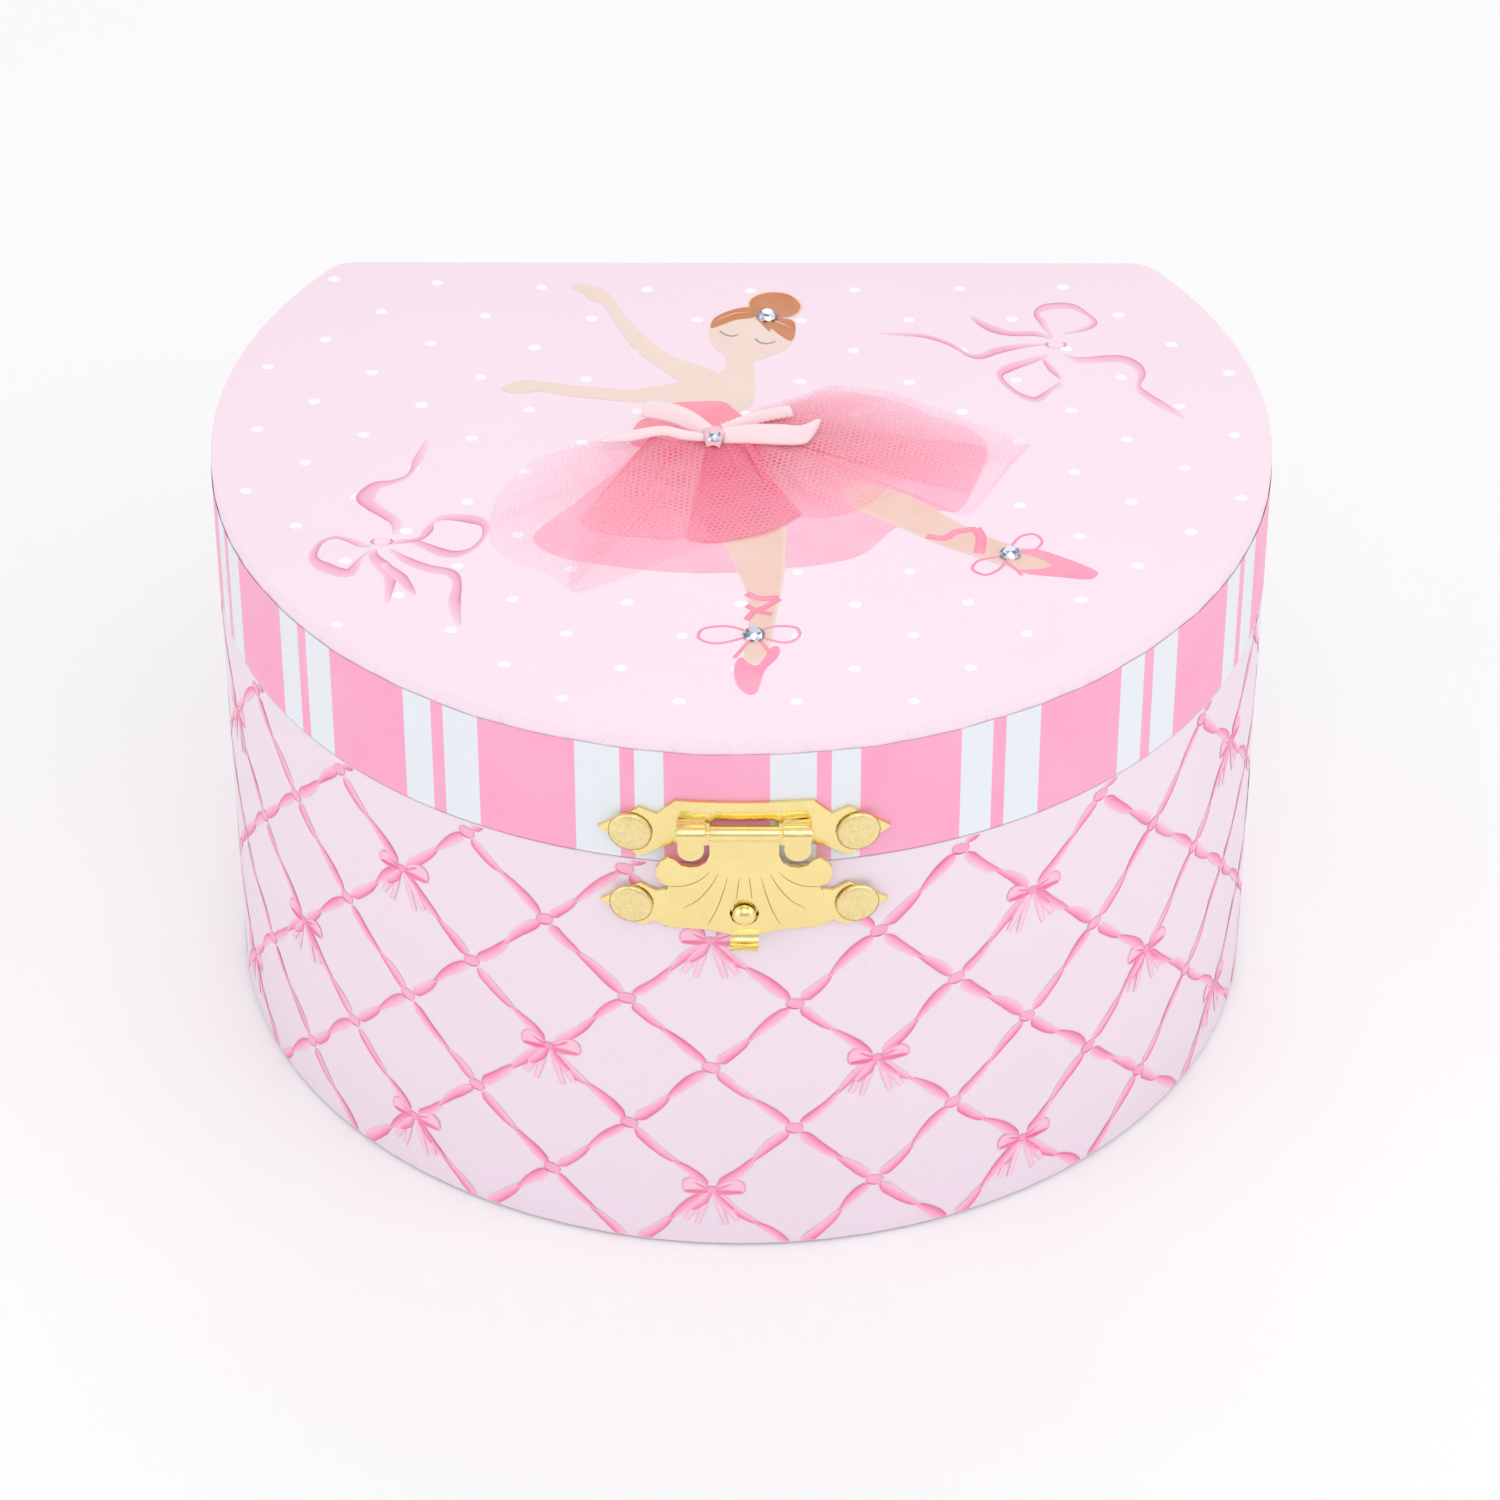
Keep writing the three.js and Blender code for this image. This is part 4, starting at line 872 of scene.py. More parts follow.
# The ribbons of the two printed bows: a path and its widths along it.
BOW_STROKES = [
    ([(-51.9, -31.5), (-48.1, -31.1), (-43.8, -33.8), (-41.5, -34.3), (-39.2, -33.0), (-37.7, -29.9),
      (-37.6, -27.0), (-39.3, -25.3), (-43.7, -24.7), (-45.4, -26.0)],
     [0.4, 1.1, 2.2, 1.8, 0.8, 0.6, 1.3, 2.6, 1.5, 0.7]),
    ([(-45.4, -26.0), (-45.9, -28.1), (-47.2, -30.4), (-51.0, -31.6)], [0.3, 1.6, 1.0, 0.4]),
    ([(-54.1, -32.5), (-55.7, -31.8), (-57.8, -30.5), (-59.6, -30.0), (-61.5, -31.5), (-62.3, -35.2),
      (-60.5, -37.7), (-56.9, -39.2), (-55.4, -35.7), (-53.8, -33.1)],
     [0.4, 1.5, 1.0, 0.7, 0.8, 1.4, 2.6, 2.2, 0.6, 0.4]),
    ([(-50.7, -29.1), (-50.7, -26.3), (-52.3, -24.2), (-54.8, -21.5), (-55.6, -19.4), (-54.3, -16.4),
      (-51.6, -15.2), (-49.5, -13.2), (-48.4, -9.1), (-47.3, -3.9)],
     [0.8, 1.8, 2.0, 2.4, 3.2, 2.2, 1.0, 0.5, 1.6, 0.7]),
    ([(-53.5, -33.1), (-53.4, -35.1), (-51.8, -37.7), (-50.7, -40.8), (-50.9, -46.9)],
     [0.8, 1.8, 2.6, 1.9, 0.6]),
    ([(-52.0, -36.9), (-49.3, -40.3), (-46.9, -44.8)], [1.2, 2.2, 0.6]),
    ([(-51.2, -33.1), (-49.0, -35.6), (-45.4, -38.0), (-42.1, -39.2), (-41.0, -41.8), (-41.1, -46.8),
      (-40.3, -52.3)], [0.5, 1.6, 2.0, 1.9, 1.4, 2.0, 0.8]),
    ([(48.1, 25.8), (46.9, 29.8), (46.0, 32.7), (47.7, 34.6), (51.3, 34.9), (53.8, 32.5), (54.9, 29.9),
      (53.1, 28.1), (49.9, 26.7)], [0.5, 1.3, 0.9, 2.0, 1.6, 0.7, 1.0, 1.3, 0.4]),
    ([(47.2, 20.5), (44.4, 18.8), (40.7, 16.4), (39.6, 14.0), (41.5, 10.2), (43.5, 8.2), (45.2, 7.9),
      (47.4, 10.6), (49.0, 12.3)], [0.6, 1.8, 2.2, 0.9, 0.8, 1.2, 1.5, 0.8, 1.4]),
    ([(49.0, 13.5), (47.6, 16.4), (46.5, 19.3)], [0.4, 1.3, 0.5]),
    ([(48.0, 25.3), (45.5, 26.7), (41.6, 26.8), (39.1, 28.0), (37.1, 29.9), (35.8, 31.9)],
     [0.5, 1.6, 1.6, 2.0, 1.4, 0.6]),
    ([(47.5, 23.9), (43.3, 23.1), (39.4, 21.7), (36.7, 20.0), (34.7, 20.7), (32.2, 23.6), (28.7, 25.8),
      (25.3, 26.5), (21.4, 26.8)], [0.5, 1.4, 2.0, 1.6, 0.8, 0.9, 1.1, 1.0, 0.3]),
    ([(49.6, 20.7), (52.1, 19.0), (57.8, 19.5), (60.5, 17.9), (61.4, 15.0), (60.7, 11.7), (61.6, 9.3),
      (64.2, 6.0), (67.0, 2.7)], [0.4, 1.8, 2.1, 1.7, 1.3, 0.6, 1.5, 1.6, 0.5]),
]
BOW_KNOTS = [(-52.5, -31.2), (48.6, 23.4)]
BOW_MIDDLE = linear("F4AFCC")
BOW_EDGE = linear("DB719E")
BOW_OTHER_EDGE = linear("F7C6DB")
# The ribbons of the slippers and their bows: a path and a width for each.
SHOE_RIBBONS = [
    ([(0.9, -44.3), (2.8, -45.6), (5.6, -45.4)], 1.2),
    ([(5.7, -45.6), (3.8, -47.6), (2.0, -49.0), (0.9, -51.0)], 1.0),
    ([(0.9, -47.4), (2.6, -48.8), (4.6, -49.6)], 0.9),
    ([(27.2, -29.5), (29.9, -30.0), (31.6, -28.4), (34.6, -27.6)], 1.25),
    ([(34.5, -27.4), (35.2, -30.0), (34.8, -34.0)], 1.6),
    ([(2.0, -54.4), (-1.6, -52.6), (-5.2, -53.2), (-5.8, -55.6), (-3.0, -56.8), (2.0, -54.7)], 0.42),
    ([(2.0, -54.4), (4.8, -52.6), (8.0, -52.9), (8.4, -55.2), (6.2, -56.6), (2.0, -54.7)], 0.42),
    ([(1.8, -55.2), (0.4, -58.0), (-0.8, -60.4)], 0.55),
    ([(2.3, -55.2), (3.4, -57.2), (4.3, -59.4)], 0.55),
    ([(39.3, -32.6), (41.0, -29.6), (43.1, -29.0), (44.1, -31.0), (42.6, -33.3), (39.5, -34.0)], 0.42),
    ([(38.9, -34.6), (37.9, -37.6), (35.6, -39.5), (33.7, -38.0), (34.9, -35.7), (38.9, -34.6)], 0.42),
    ([(38.6, -36.2), (40.0, -38.0), (40.8, -39.6)], 0.55),
]
HAIR_LINE_WIDTHS = [0.05, 0.22, 0.05]
LASH_WIDTHS = [0.3, 0.38, 0.36, 0.2]
HEAD_LINES = [
    ([(-4.2, 30.2), (-1.4, 32.4), (1.4, 32.9)], HAIR_LINE_WIDTHS, HAIR_LINE),
    ([(2.6, 31.0), (5.2, 30.2), (7.6, 28.2)], HAIR_LINE_WIDTHS, HAIR_LINE),
    ([(-3.5, 27.3), (-2.6, 26.2), (-1.5, 25.8), (-0.5, 26.3)], LASH_WIDTHS, LASH),
    ([(2.0, 25.1), (2.8, 23.9), (4.0, 23.6), (5.2, 24.3)], LASH_WIDTHS, LASH),
]
CHEEKS = [(-2.9, 24.3), (3.6, 21.9)]
ON_LID = 0.012  # how far the ink stands off the lid
DOT_JITTER = 0.2
DOT_RADII = (0.78, 0.92)
DOT_INSET = 1.8  # dots nearer than this to the lid's edge are left out
BUN_INSIDE = 0.93  # the bun's colour within its pale outline


def on_lid(x, y, height):
    return at(x, y, LID_Z + ON_LID + height)


def inside_plan(x, y, inset):
    return math.hypot(x, y) < RADIUS - inset and y < BACK_Y - inset


def print_dots(sheet):
    """Slanting rows of dots, each a little out of place and of its own size."""
    rng = random.Random(3)
    for i in range(-12, 13):
        for j in range(-6, 18):
            x = DOT_START[0] + i * DOT_STEP_X[0] + j * DOT_STEP_Y[0] + rng.uniform(-DOT_JITTER, DOT_JITTER)
            y = DOT_START[1] + i * DOT_STEP_X[1] + j * DOT_STEP_Y[1] + rng.uniform(-DOT_JITTER, DOT_JITTER)
            y += DOT_BOW * (x * x + y * y)
            if inside_plan(x, y, DOT_INSET):
                radius = rng.uniform(*DOT_RADII)
                sheet.plain_blob(oval(x, y, radius * 1.12, radius), DOT, 1, 16)


def print_dancer(sheet):
    sheet.plain_blob(UNDERSKIRT_SHAPE, UNDERSKIRT, 2, 140)
    for shape in (LEG_RAISED, LEG_STANDING):
        sheet.blob(shape, LEG_SKIN, 3, 90, SKIN)
    for shape in (ARM_RAISED, ARM_FRONT, TORSO):
        sheet.plain_blob(shape, SKIN, 3, 90)
    sheet.plain_blob(HEAD, SKIN, 4, 60)
    sheet.plain_blob(BODICE_SHAPE, BODICE, 4, 50)
    for shape in (SHOE_STANDING, SHOE_RAISED):
        sheet.plain_blob(shape, SLIPPER, 5, 60)
    for path, width in SHOE_RIBBONS:
        sheet.stroke(path, width, SLIPPER, SLIPPER_DEEP, 6, 26, 3)
    sheet.plain_blob(BUN, HAIR_LINE, 6, 40)
    centre = np.mean(BUN, axis=0)
    sheet.plain_blob([centre + (np.array(p) - centre) * BUN_INSIDE for p in BUN], HAIR, 7, 40)
    for shape in (HAIR_LEFT, HAIR_RIGHT):
        sheet.plain_blob(shape, HAIR, 6, 46)
    for path, widths, colour in HEAD_LINES:
        sheet.stroke(path, widths, colour, colour, 8, 18, 3)
    for x, y in CHEEKS:
        sheet.blob(oval(x, y, 1.25, 1.0), CHEEK, 7, 20, SKIN)


def print_bows(sheet):
    """The two washed-out ribbon bows, each with a small knot marked at its sides."""
    for path, widths in BOW_STROKES:
        narrowed = np.array(widths) * 0.92
        sheet.stroke(path, narrowed, BOW_MIDDLE, BOW_EDGE, 2, 70, 9, BOW_OTHER_EDGE, 1.6, LID_PINK)
    for x, y in BOW_KNOTS:
        sheet.blob(oval(x, y, 1.3, 1.0), linear("FADAE8"), 4, 24, linear("F5BCD4"))
        for side in (-1, 1):
            tick = [(x + side * 1.2, y + 0.8), (x + side * 1.5, y), (x + side * 1.1, y - 0.7)]
            sheet.stroke(tick, [0.15, 0.5, 0.15], linear("DF7BA6"), linear("EA9BBD"), 5, 10, 3)


def lid_print():
    sheet = Sheet()
    print_dots(sheet)
    print_dancer(sheet)
    print_bows(sheet)
    sheet.lay("printed_lid", on_lid, "lid")


lid_print()

# ---- latch: engraved flutes on the flap, laid flat as painted groove shade ----
LATCH_X = JOINT["hasp_hinge"]["pos_m"][0] / MM
# The right half's grooves, as places across from the latch's middle and heights.
FLUTES = [
    [(10.6, 69.7), (8.4, 69.8), (6.4, 70.7), (4.9, 72.2)],
    [(8.5, 65.9), (6.6, 67.2), (4.8, 69.6), (3.7, 71.9)],
    [(5.1, 62.9), (3.9, 65.6), (3.0, 68.6), (2.4, 71.2)],
    [(1.1, 67.4), (0.9, 69.4), (0.7, 71.2)],
]
FLAP_FRONT = -81.855  # the face the flutes are cut in


def flutes():
    sheet = Sheet()
    for side in (-1, 1):
        for path in FLUTES:
            # Painted shade: each flute is a dark line laid flat on the face, for the shade in a cut groove.
            mirrored = [(LATCH_X + side * x, z) for x, z in path]
            sheet.stroke(mirrored, [0.07, 0.13, 0.13, 0.06], linear("9B7320"), linear("D9B04C"), 1, 24, 3)
    # The line's dark brass colour is that painted groove shade.
    g = Graph("engraved_line_painted_shade")
    g.set(Base_Color=g.mix(g.noise(500.0), linear("A27A28"), linear("C79A3E")), Metallic=1.0, Roughness=0.4)
    sheet.lay("hasp_flutes", lambda x, z, h: at(x, FLAP_FRONT - h, z), "hasp", g.material)


flutes()


# ---- tulle skirt ----
# The skirt is cut from one net. Where it is gathered or doubled the colour deepens, partly as more net and
# partly as painted shade, so each point carries a fullness.
SHEER = linear("FBC9DC")
CORAL = linear("FF8DAA")
# The rose is painted shade in the holes of full net.
PAINTED_SHADE_ROSE = linear("F4587E")


def net_with_fullness(name, thread_light):
    """Two layers of net, one a little turned. Fullness, in the paint's alpha, closes the holes and deepens
    them towards rose as painted shade; the threads are painted lighter as a highlight.
    """
    g = Graph(name)
    u, v, _ = g.split(g.node("ShaderNodeUVMap", uv_map="cut"))
    upper = net_threads(g, u, v, 0.98, 0.0)
    lower = net_threads(g, u, v, 0.93, 0.13)
    paint = painted(g)
    fullness = g.node("ShaderNodeVertexColor", out=1, layer_name="Col")
    doubled = g.times(lower, g.ramp(fullness, 0.12, 0.75, 0.0, 0.8))
    ink = g.math("MAXIMUM", g.times(upper, g.ramp(fullness, 0.24, 0.9, 0.0, 0.8)), doubled)
    body = g.times(g.math("POWER", fullness, 1.35), 0.92)
    cover = g.plus(g.times(ink, g.math("SUBTRACT", 1.0, body)), body)
    # Painted shade: the holes deepen towards rose as the net fills, for the shade of the layers below.
    deep = g.mix(g.times(fullness, 0.55), paint, PAINTED_SHADE_ROSE)
    # Painted highlight: the threads are lightened towards pale pink, less where the net is full.
    painted_thread_highlight = g.ramp(fullness, thread_light, 0.3 * thread_light, 0.45, 1.0)
    shade = g.mix(ink, deep, g.mix(painted_thread_highlight, paint, (1.0, 0.8, 0.87, 1.0)))
    g.set(Base_Color=shade, Roughness=0.8, Alpha=g.math("MINIMUM", cover, 0.97))
    g.set(Sheen_Weight=0.35, Sheen_Tint=(1.0, 0.85, 0.9, 1.0))
    return g.set(Normal=g.bump(upper, 0.00012, 0.5)).material


TULLE = net_with_fullness("tulle", 0.6)
FOLDED_TULLE = net_with_fullness("tulle_folded", 0.3)
# The fabric stands up off the lid as it comes forward, by this much of its rise.
FORWARD = 1.35


def ridge(t, place, half):
    """1 on a fold's crest, falling away to either side."""
    return math.exp(-(((t - place) / half) ** 2))


def tulle(name, root, hem, fullness, colours, rise, seed, turn=0.0, folds=(), selvage=0.3, net=TULLE):
    """A panel of net from its gathers (root) to its free edge (hem). fullness is (at root, at hem). folds are
    (place along the hem, half-width, height) of each soft ridge running down from the gathers. The
    turned-over edge is as full as selvage."""
    columns, rows = 160, 48
    gathers, edge = spline(root, columns), spline(hem, columns)
    phase = random.Random(seed).uniform(0, 6.28)
    c, s = math.cos(turn), math.sin(turn)
    points, paints, cut = [], [], []
    for i in range(rows):
        r = i / (rows - 1)
        fade = max(0.0, (r - 0.1) / 0.9)
        for j in range(columns):
            t = j / (columns - 1)
            flat = gathers[j] + (edge[j] - gathers[j]) * r
            pleats = math.sin(26 * math.pi * t + phase)
            ruffle = 0.11 * pleats * (1 - r) + 0.07 * math.sin(9 * math.pi * t + 2 * r + phase)
            z = rise * (1 - r) ** 1.6 + 0.25 * (0.5 + 0.5 * math.sin(5 * math.pi * t + phase)) * r + 0.2
            z += ruffle * min(1, 6 * r)
            full = fullness[0] + (fullness[1] - fullness[0]) * fade**0.6
            if i == rows - 1:
                full = max(full, selvage)
            crowd = 0.07 * pleats * (1 - r) ** 0.5
            for place, half, height in folds:
                z += height * ridge(t, place, half) * math.sin(math.pi * min(1.0, 0.12 + 0.95 * r)) ** 0.8
                crowd += 0.3 * height * ridge(t, place, 0.5 * half) * r
            # The colour runs from the root's deep red, partly painted shade, to the hem's.
            colour = [a + (b - a) * fade**1.1 for a, b in zip(colours[0][:3], colours[1][:3])]
            points.append(at(flat[0], flat[1] - FORWARD * (z - 0.2), LID_Z + z))
            paints.append((*colour, min(1.0, max(0.0, full + crowd))))
            cut.append((c * flat[0] - s * flat[1], s * flat[0] + c * flat[1]))
    obj = mesh_object(name, points, grid_faces(rows, columns), net, "lid", paints, cut)
    obj.visible_shadow = False
    return obj


# Painted shade: each panel's colour at its root is a deep red near the waist, partly the denser gathered net and
# partly the shade under the bow and the gathers.
SKIRT_PANELS = {
    "tulle_sheer_left": dict(
        root=[(-9.0, 0.0), (-8.0, -3.0), (-5.0, -6.0)],
        hem=[(-13.2, -1.6), (-17.9, -2.6), (-23.3, -4.8), (-29.1, -7.9), (-32.9, -12.3), (-35.6, -17.8),
             (-36.9, -24.3), (-36.5, -31.3), (-33.5, -36.0), (-29.0, -38.6), (-24.6, -43.6)],
        fullness=(0.38, 0.0), colours=(CORAL, SHEER), rise=1.3, seed=1,
        folds=((0.2, 0.08, 0.3), (0.62, 0.1, 0.35)), selvage=0.06,
    ),
    "tulle_sheer_low": dict(
        root=[(-11.0, -4.5), (-8.0, -5.0), (-4.0, -6.0)],
        hem=[(-23.4, -24.0), (-23.9, -31.0), (-24.5, -43.6), (-19.3, -41.8), (-14.1, -38.4),
             (-8.2, -33.9), (-4.7, -30.6)],
        fullness=(0.32, 0.06), colours=(CORAL, linear("FDBCD1")), rise=1.3, seed=2, turn=0.5,
        folds=((0.3, 0.1, 0.25),), selvage=0.2,
    ),
    "tulle_front_left": dict(
        root=[(-13.6, -3.4), (-9.0, -4.8), (-3.4, -4.6)],
        hem=[(-23.7, -25.4), (-22.4, -27.4), (-19.5, -28.9), (-16.1, -29.7), (-11.3, -30.1),
             (-6.6, -29.7)],
        fullness=(0.84, 0.34), colours=(linear("E2406C"), linear("FB93B1")), rise=2.0, seed=3, turn=1.1,
        folds=((0.02, 0.03, 0.5), (0.35, 0.16, 0.3), (0.85, 0.1, 0.3)), selvage=0.62,
    ),
    "tulle_front_fold": dict(
        root=[(-5.0, -4.6), (-2.0, -4.0), (1.2, -3.2)],
        hem=[(-8.0, -30.2), (-5.4, -31.2), (-2.3, -31.2), (3.7, -28.6), (7.9, -25.1), (8.7, -23.2),
             (4.6, -19.4), (5.0, -14.4), (3.7, -9.0)],
        fullness=(0.8, 0.68), colours=(linear("E8466F"), linear("FA809F")), rise=2.4, seed=4, turn=0.35,
        folds=((0.12, 0.07, 0.35), (0.8, 0.14, 0.75)), selvage=0.85, net=FOLDED_TULLE,
    ),
    "tulle_sheer_right": dict(
        root=[(4.0, -4.6), (3.4, -1.0), (1.6, 2.6)],
        hem=[(12.0, -24.4), (18.0, -21.0), (24.5, -17.8), (28.2, -20.2), (31.2, -22.4), (33.4, -23.8),
             (37.2, -17.4), (40.0, -11.5), (42.6, -6.6), (42.8, -4.5), (36.1, 0.1), (29.7, 4.9),
             (23.2, 9.2), (17.3, 11.0), (13.6, 11.3), (9.9, 9.2), (6.3, 7.3), (1.9, 4.4)],
        fullness=(0.42, 0.04), colours=(CORAL, SHEER), rise=1.6, seed=5, turn=0.9,
        folds=((0.45, 0.07, 0.3), (0.7, 0.05, 0.45), (0.8, 0.04, 0.4)), selvage=0.32,
    ),
    "tulle_front_right": dict(
        root=[(1.0, -4.6), (1.8, -2.4), (0.6, 0.6)],
        hem=[(4.6, -19.8), (7.5, -22.7), (10.4, -24.4), (13.6, -24.1), (17.4, -22.1), (20.7, -18.0),
             (23.4, -14.6), (27.4, -15.6), (30.8, -16.9), (33.4, -17.2), (35.7, -12.7), (36.9, -5.6),
             (34.0, -0.4), (29.6, 2.6), (23.1, 7.1), (17.2, 9.3), (13.6, 9.9), (9.9, 8.0), (6.3, 5.6)],
        fullness=(0.97, 0.13), colours=(linear("DC1E4E"), linear("FDB4CA")), rise=2.2, seed=6, turn=0.2,
        folds=((0.2, 0.07, 0.45), (0.38, 0.05, 0.3), (0.6, 0.06, 0.45), (0.82, 0.05, 0.5)), selvage=0.42,
    ),
}
skirt = [tulle(panel, **shape) for panel, shape in SKIRT_PANELS.items()]
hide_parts("tulle_skirt")


# ---- satin ribbon bow at the waist ----
def satin(name, light, shaded):
    g = Graph(name)
    threads = weave_height(g, g.node("ShaderNodeUVMap", uv_map="cut"), 0.22)
    tone = g.mix(g.ramp(threads, 0.0, 0.5, -1.0, 1.0), linear(light), linear(shaded))
    g.set(Base_Color=tone, Roughness=0.34, Anisotropic=0.5, Sheen_Weight=0.25)
    return g.set(Normal=g.bump(threads, 0.00002, 0.5)).material


PICOT = 0.9  # from loop to loop along the edge
SATIN = satin("satin", "FFE9EC", "F9D2DA")
# Painted shade: the knot is the same satin as the loops, in a deeper colour because its top faces the light.
SHADED_KNOT_SATIN = satin("satin_knot_painted_shade", "F9CBD6", "F0AFC0")


def ribbon_strip(name, path, width, material, body, picot=False, thickness=0.14, crown=0.25, tilt=0.0):
    """A flat ribbon along a 3D path, a little crowned across. It lies face up, or leans by tilt. Picot edges
    carry small loops."""
    samples, across = 60, 9
    line = spline(path, samples)
    heading = np.gradient(line, axis=0)
    heading /= np.linalg.norm(heading, axis=1)[:, None]
    side = np.cross(heading, np.array([0, 0, 1.0]))
    side /= np.linalg.norm(side, axis=1)[:, None]
    back = np.sign(side[:, 1])[:, None] * side
    side = side * math.cos(tilt) + np.sign(side[:, 1])[:, None] * np.array([0, 0, math.sin(tilt)])
    lifted = -back * math.sin(tilt) + np.array([0, 0, math.cos(tilt)])
    points, cut = [], []
    length = np.concatenate([[0], np.cumsum(np.linalg.norm(np.diff(line, axis=0), axis=1))])
    widths = spread(width, samples)
    for i in range(samples):
        for j in range(across):
            s = 2 * j / (across - 1) - 1
            w = widths[i] / 2
            if picot and abs(s) > 0.99:
                w *= 1.0 + 0.1 * math.sin(length[i] * 2 * math.pi / PICOT)
            p = line[i] + side[i] * s * w + lifted[i] * crown * (1 - s * s)
            points.append(at(*p))
            cut.append((length[i], s * widths[i] / 2))
    obj = mesh_object(name, points, grid_faces(samples, across), material, body, cut=cut)
    modify(obj, "SOLIDIFY", thickness=thickness * MM, offset=0)
    return obj


BOW_Z = LID_Z + 2.9
RIBBON_TILT = 0.75
# Each loop and tail: its path about BOW_Z, its widths along it, and whether its edge is picot.
RIBBONS = [
    ([(-4.6, -7.0, 0.5), (-7.4, -4.6, 0.9), (-10.4, -2.4, 1.0), (-14.6, 0.2, 0.3)],
     (1.9, 2.8, 3.0, 2.8), False),
    ([(-5.2, -7.9, 0.2), (-8.6, -7.6, 0.5), (-12.0, -6.8, 0.7), (-16.6, -7.5, 0.2), (-21.2, -8.0, -0.5)],
     (1.2, 1.5, 1.5, 1.7, 0.25), False),
    ([(-2.8, -6.2, 0.5), (1.2, -3.9, 0.8), (4.4, -2.2, 0.7), (7.5, -0.6, 0.3)], (1.7, 1.9, 1.9, 1.9), True),
    ([(-2.8, -7.6, 0.4), (1.6, -7.6, 0.7), (6.0, -7.8, 0.7), (9.2, -7.0, 0.3), (11.7, -3.0, 0.1)],
     (2.4, 3.1, 3.2, 3.0, 0.5), False),
]


def waist_bow():
    for k, (path, width, picot) in enumerate(RIBBONS):
        raised = [(x, y, BOW_Z + z) for x, y, z in path]
        name = f"bow_ribbon_{k + 1}"
        ribbon_strip(name, raised, width, SATIN, "lid", picot, tilt=RIBBON_TILT)
    over = [(-3.9, -5.2, -0.4), (-4.0, -6.2, 0.7), (-4.1, -8.2, 0.7), (-4.2, -9.6, -0.5)]
    wrap = [(x, y, BOW_Z + z) for x, y, z in over]
    # The knot takes the satin with painted shade.
    ribbon_strip("bow_knot", wrap, (1.9, 2.7, 3.3, 2.7, 1.9), SHADED_KNOT_SATIN, "lid", crown=0.45)
    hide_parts("waist_bow")


waist_bow()


# ---- rhinestones ----
def gem_finish():
    g = Graph("rhinestone")
    # The painted colours are each facet's painted reflection.
    tone = g.mix(g.ramp(g.noise(900.0), 0.0, 0.12), painted(g), WHITE)
    g.set(Base_Color=tone, Metallic=0.75, Roughness=0.06)
    return g.set(Coat_Weight=1.0, Coat_Roughness=0.02).material


GEM = gem_finish()


GEM_HEIGHT = 1.25
GEM_RINGS = [(1.0, 0.0, 16, 0.0), (1.0, 0.32, 16, 0.0), (0.78, 0.66, 8, 0.5), (0.5, 0.9, 8, 0.0)]
# Painted reflections: each facet takes one of these colours, bright or dark, for the flash it would catch.
PAINTED_FACET_REFLECTIONS = [(0.95, 0.97, 1.0), (0.45, 0.52, 0.66), (0.8, 0.86, 0.95), (0.16, 0.18, 0.25), (0.3, 0.35, 0.48)]


def rhinestone(name, node, radius, seed):
    """A foil-backed round stone: a table, eight star facets and sixteen girdle facets, each painted with its
    own reflection colour, bright or dark."""
    low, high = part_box(node)
    centre = (low + high) / 2
    rng = random.Random(seed)
    shape = bmesh.new()
    loops = []
    for share, rise, count, offset in GEM_RINGS:
        ring = []
        for k in range(count):
            angle = 2 * math.pi * (k + offset) / count
            x = centre.x + share * radius * MM * math.cos(angle)
            y = centre.y + share * radius * MM * math.sin(angle)
            ring.append(shape.verts.new((x, y, low.z + rise * GEM_HEIGHT * MM)))
        loops.append(ring)
    foot, girdle, star, table = loops
    for k in range(16):
        shape.faces.new((foot[k], foot[(k + 1) % 16], girdle[(k + 1) % 16], girdle[k]))
    for k in range(8):
        peak, next_peak = star[k], star[(k + 1) % 8]
        left, middle, right = girdle[2 * k], girdle[2 * k + 1], girdle[(2 * k + 2) % 16]
        shape.faces.new((left, middle, peak))
        shape.faces.new((middle, right, peak))
        shape.faces.new((right, next_peak, peak))
        shape.faces.new((peak, next_peak, table[(k + 1) % 8]))
        shape.faces.new((peak, table[(k + 1) % 8], table[k]))
    shape.faces.new(table)
    shape.faces.new(list(reversed(foot)))
    points, colours, faces = [], [], []
    for face in shape.faces:
        painted_reflection = rng.choice(PAINTED_FACET_REFLECTIONS)
        faces.append(tuple(range(len(points), len(points) + len(face.verts))))
        points.extend(v.co.copy() for v in face.verts)
        colours.extend([(*painted_reflection, 1.0)] * len(face.verts))
    shape.free()
    obj = mesh_object(name, points, faces, GEM, "lid", colours, smooth=False)
    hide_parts(node)


STONES = {"hair": 1.62, "waist": 1.5, "left_shoe": 1.6, "right_shoe": 1.6}
for seed, (where, radius) in enumerate(STONES.items(), 1):
    rhinestone(f"stone_{where}", f"gem_{where}", radius, seed)


# ---- velvet ring rolls and bin pads ----
# A roll fills its piece but for a sliver at each end and all round.
ROLL_START = 0.004
ROLL_LENGTH = 0.992
ROLL_GIRTH = 0.985


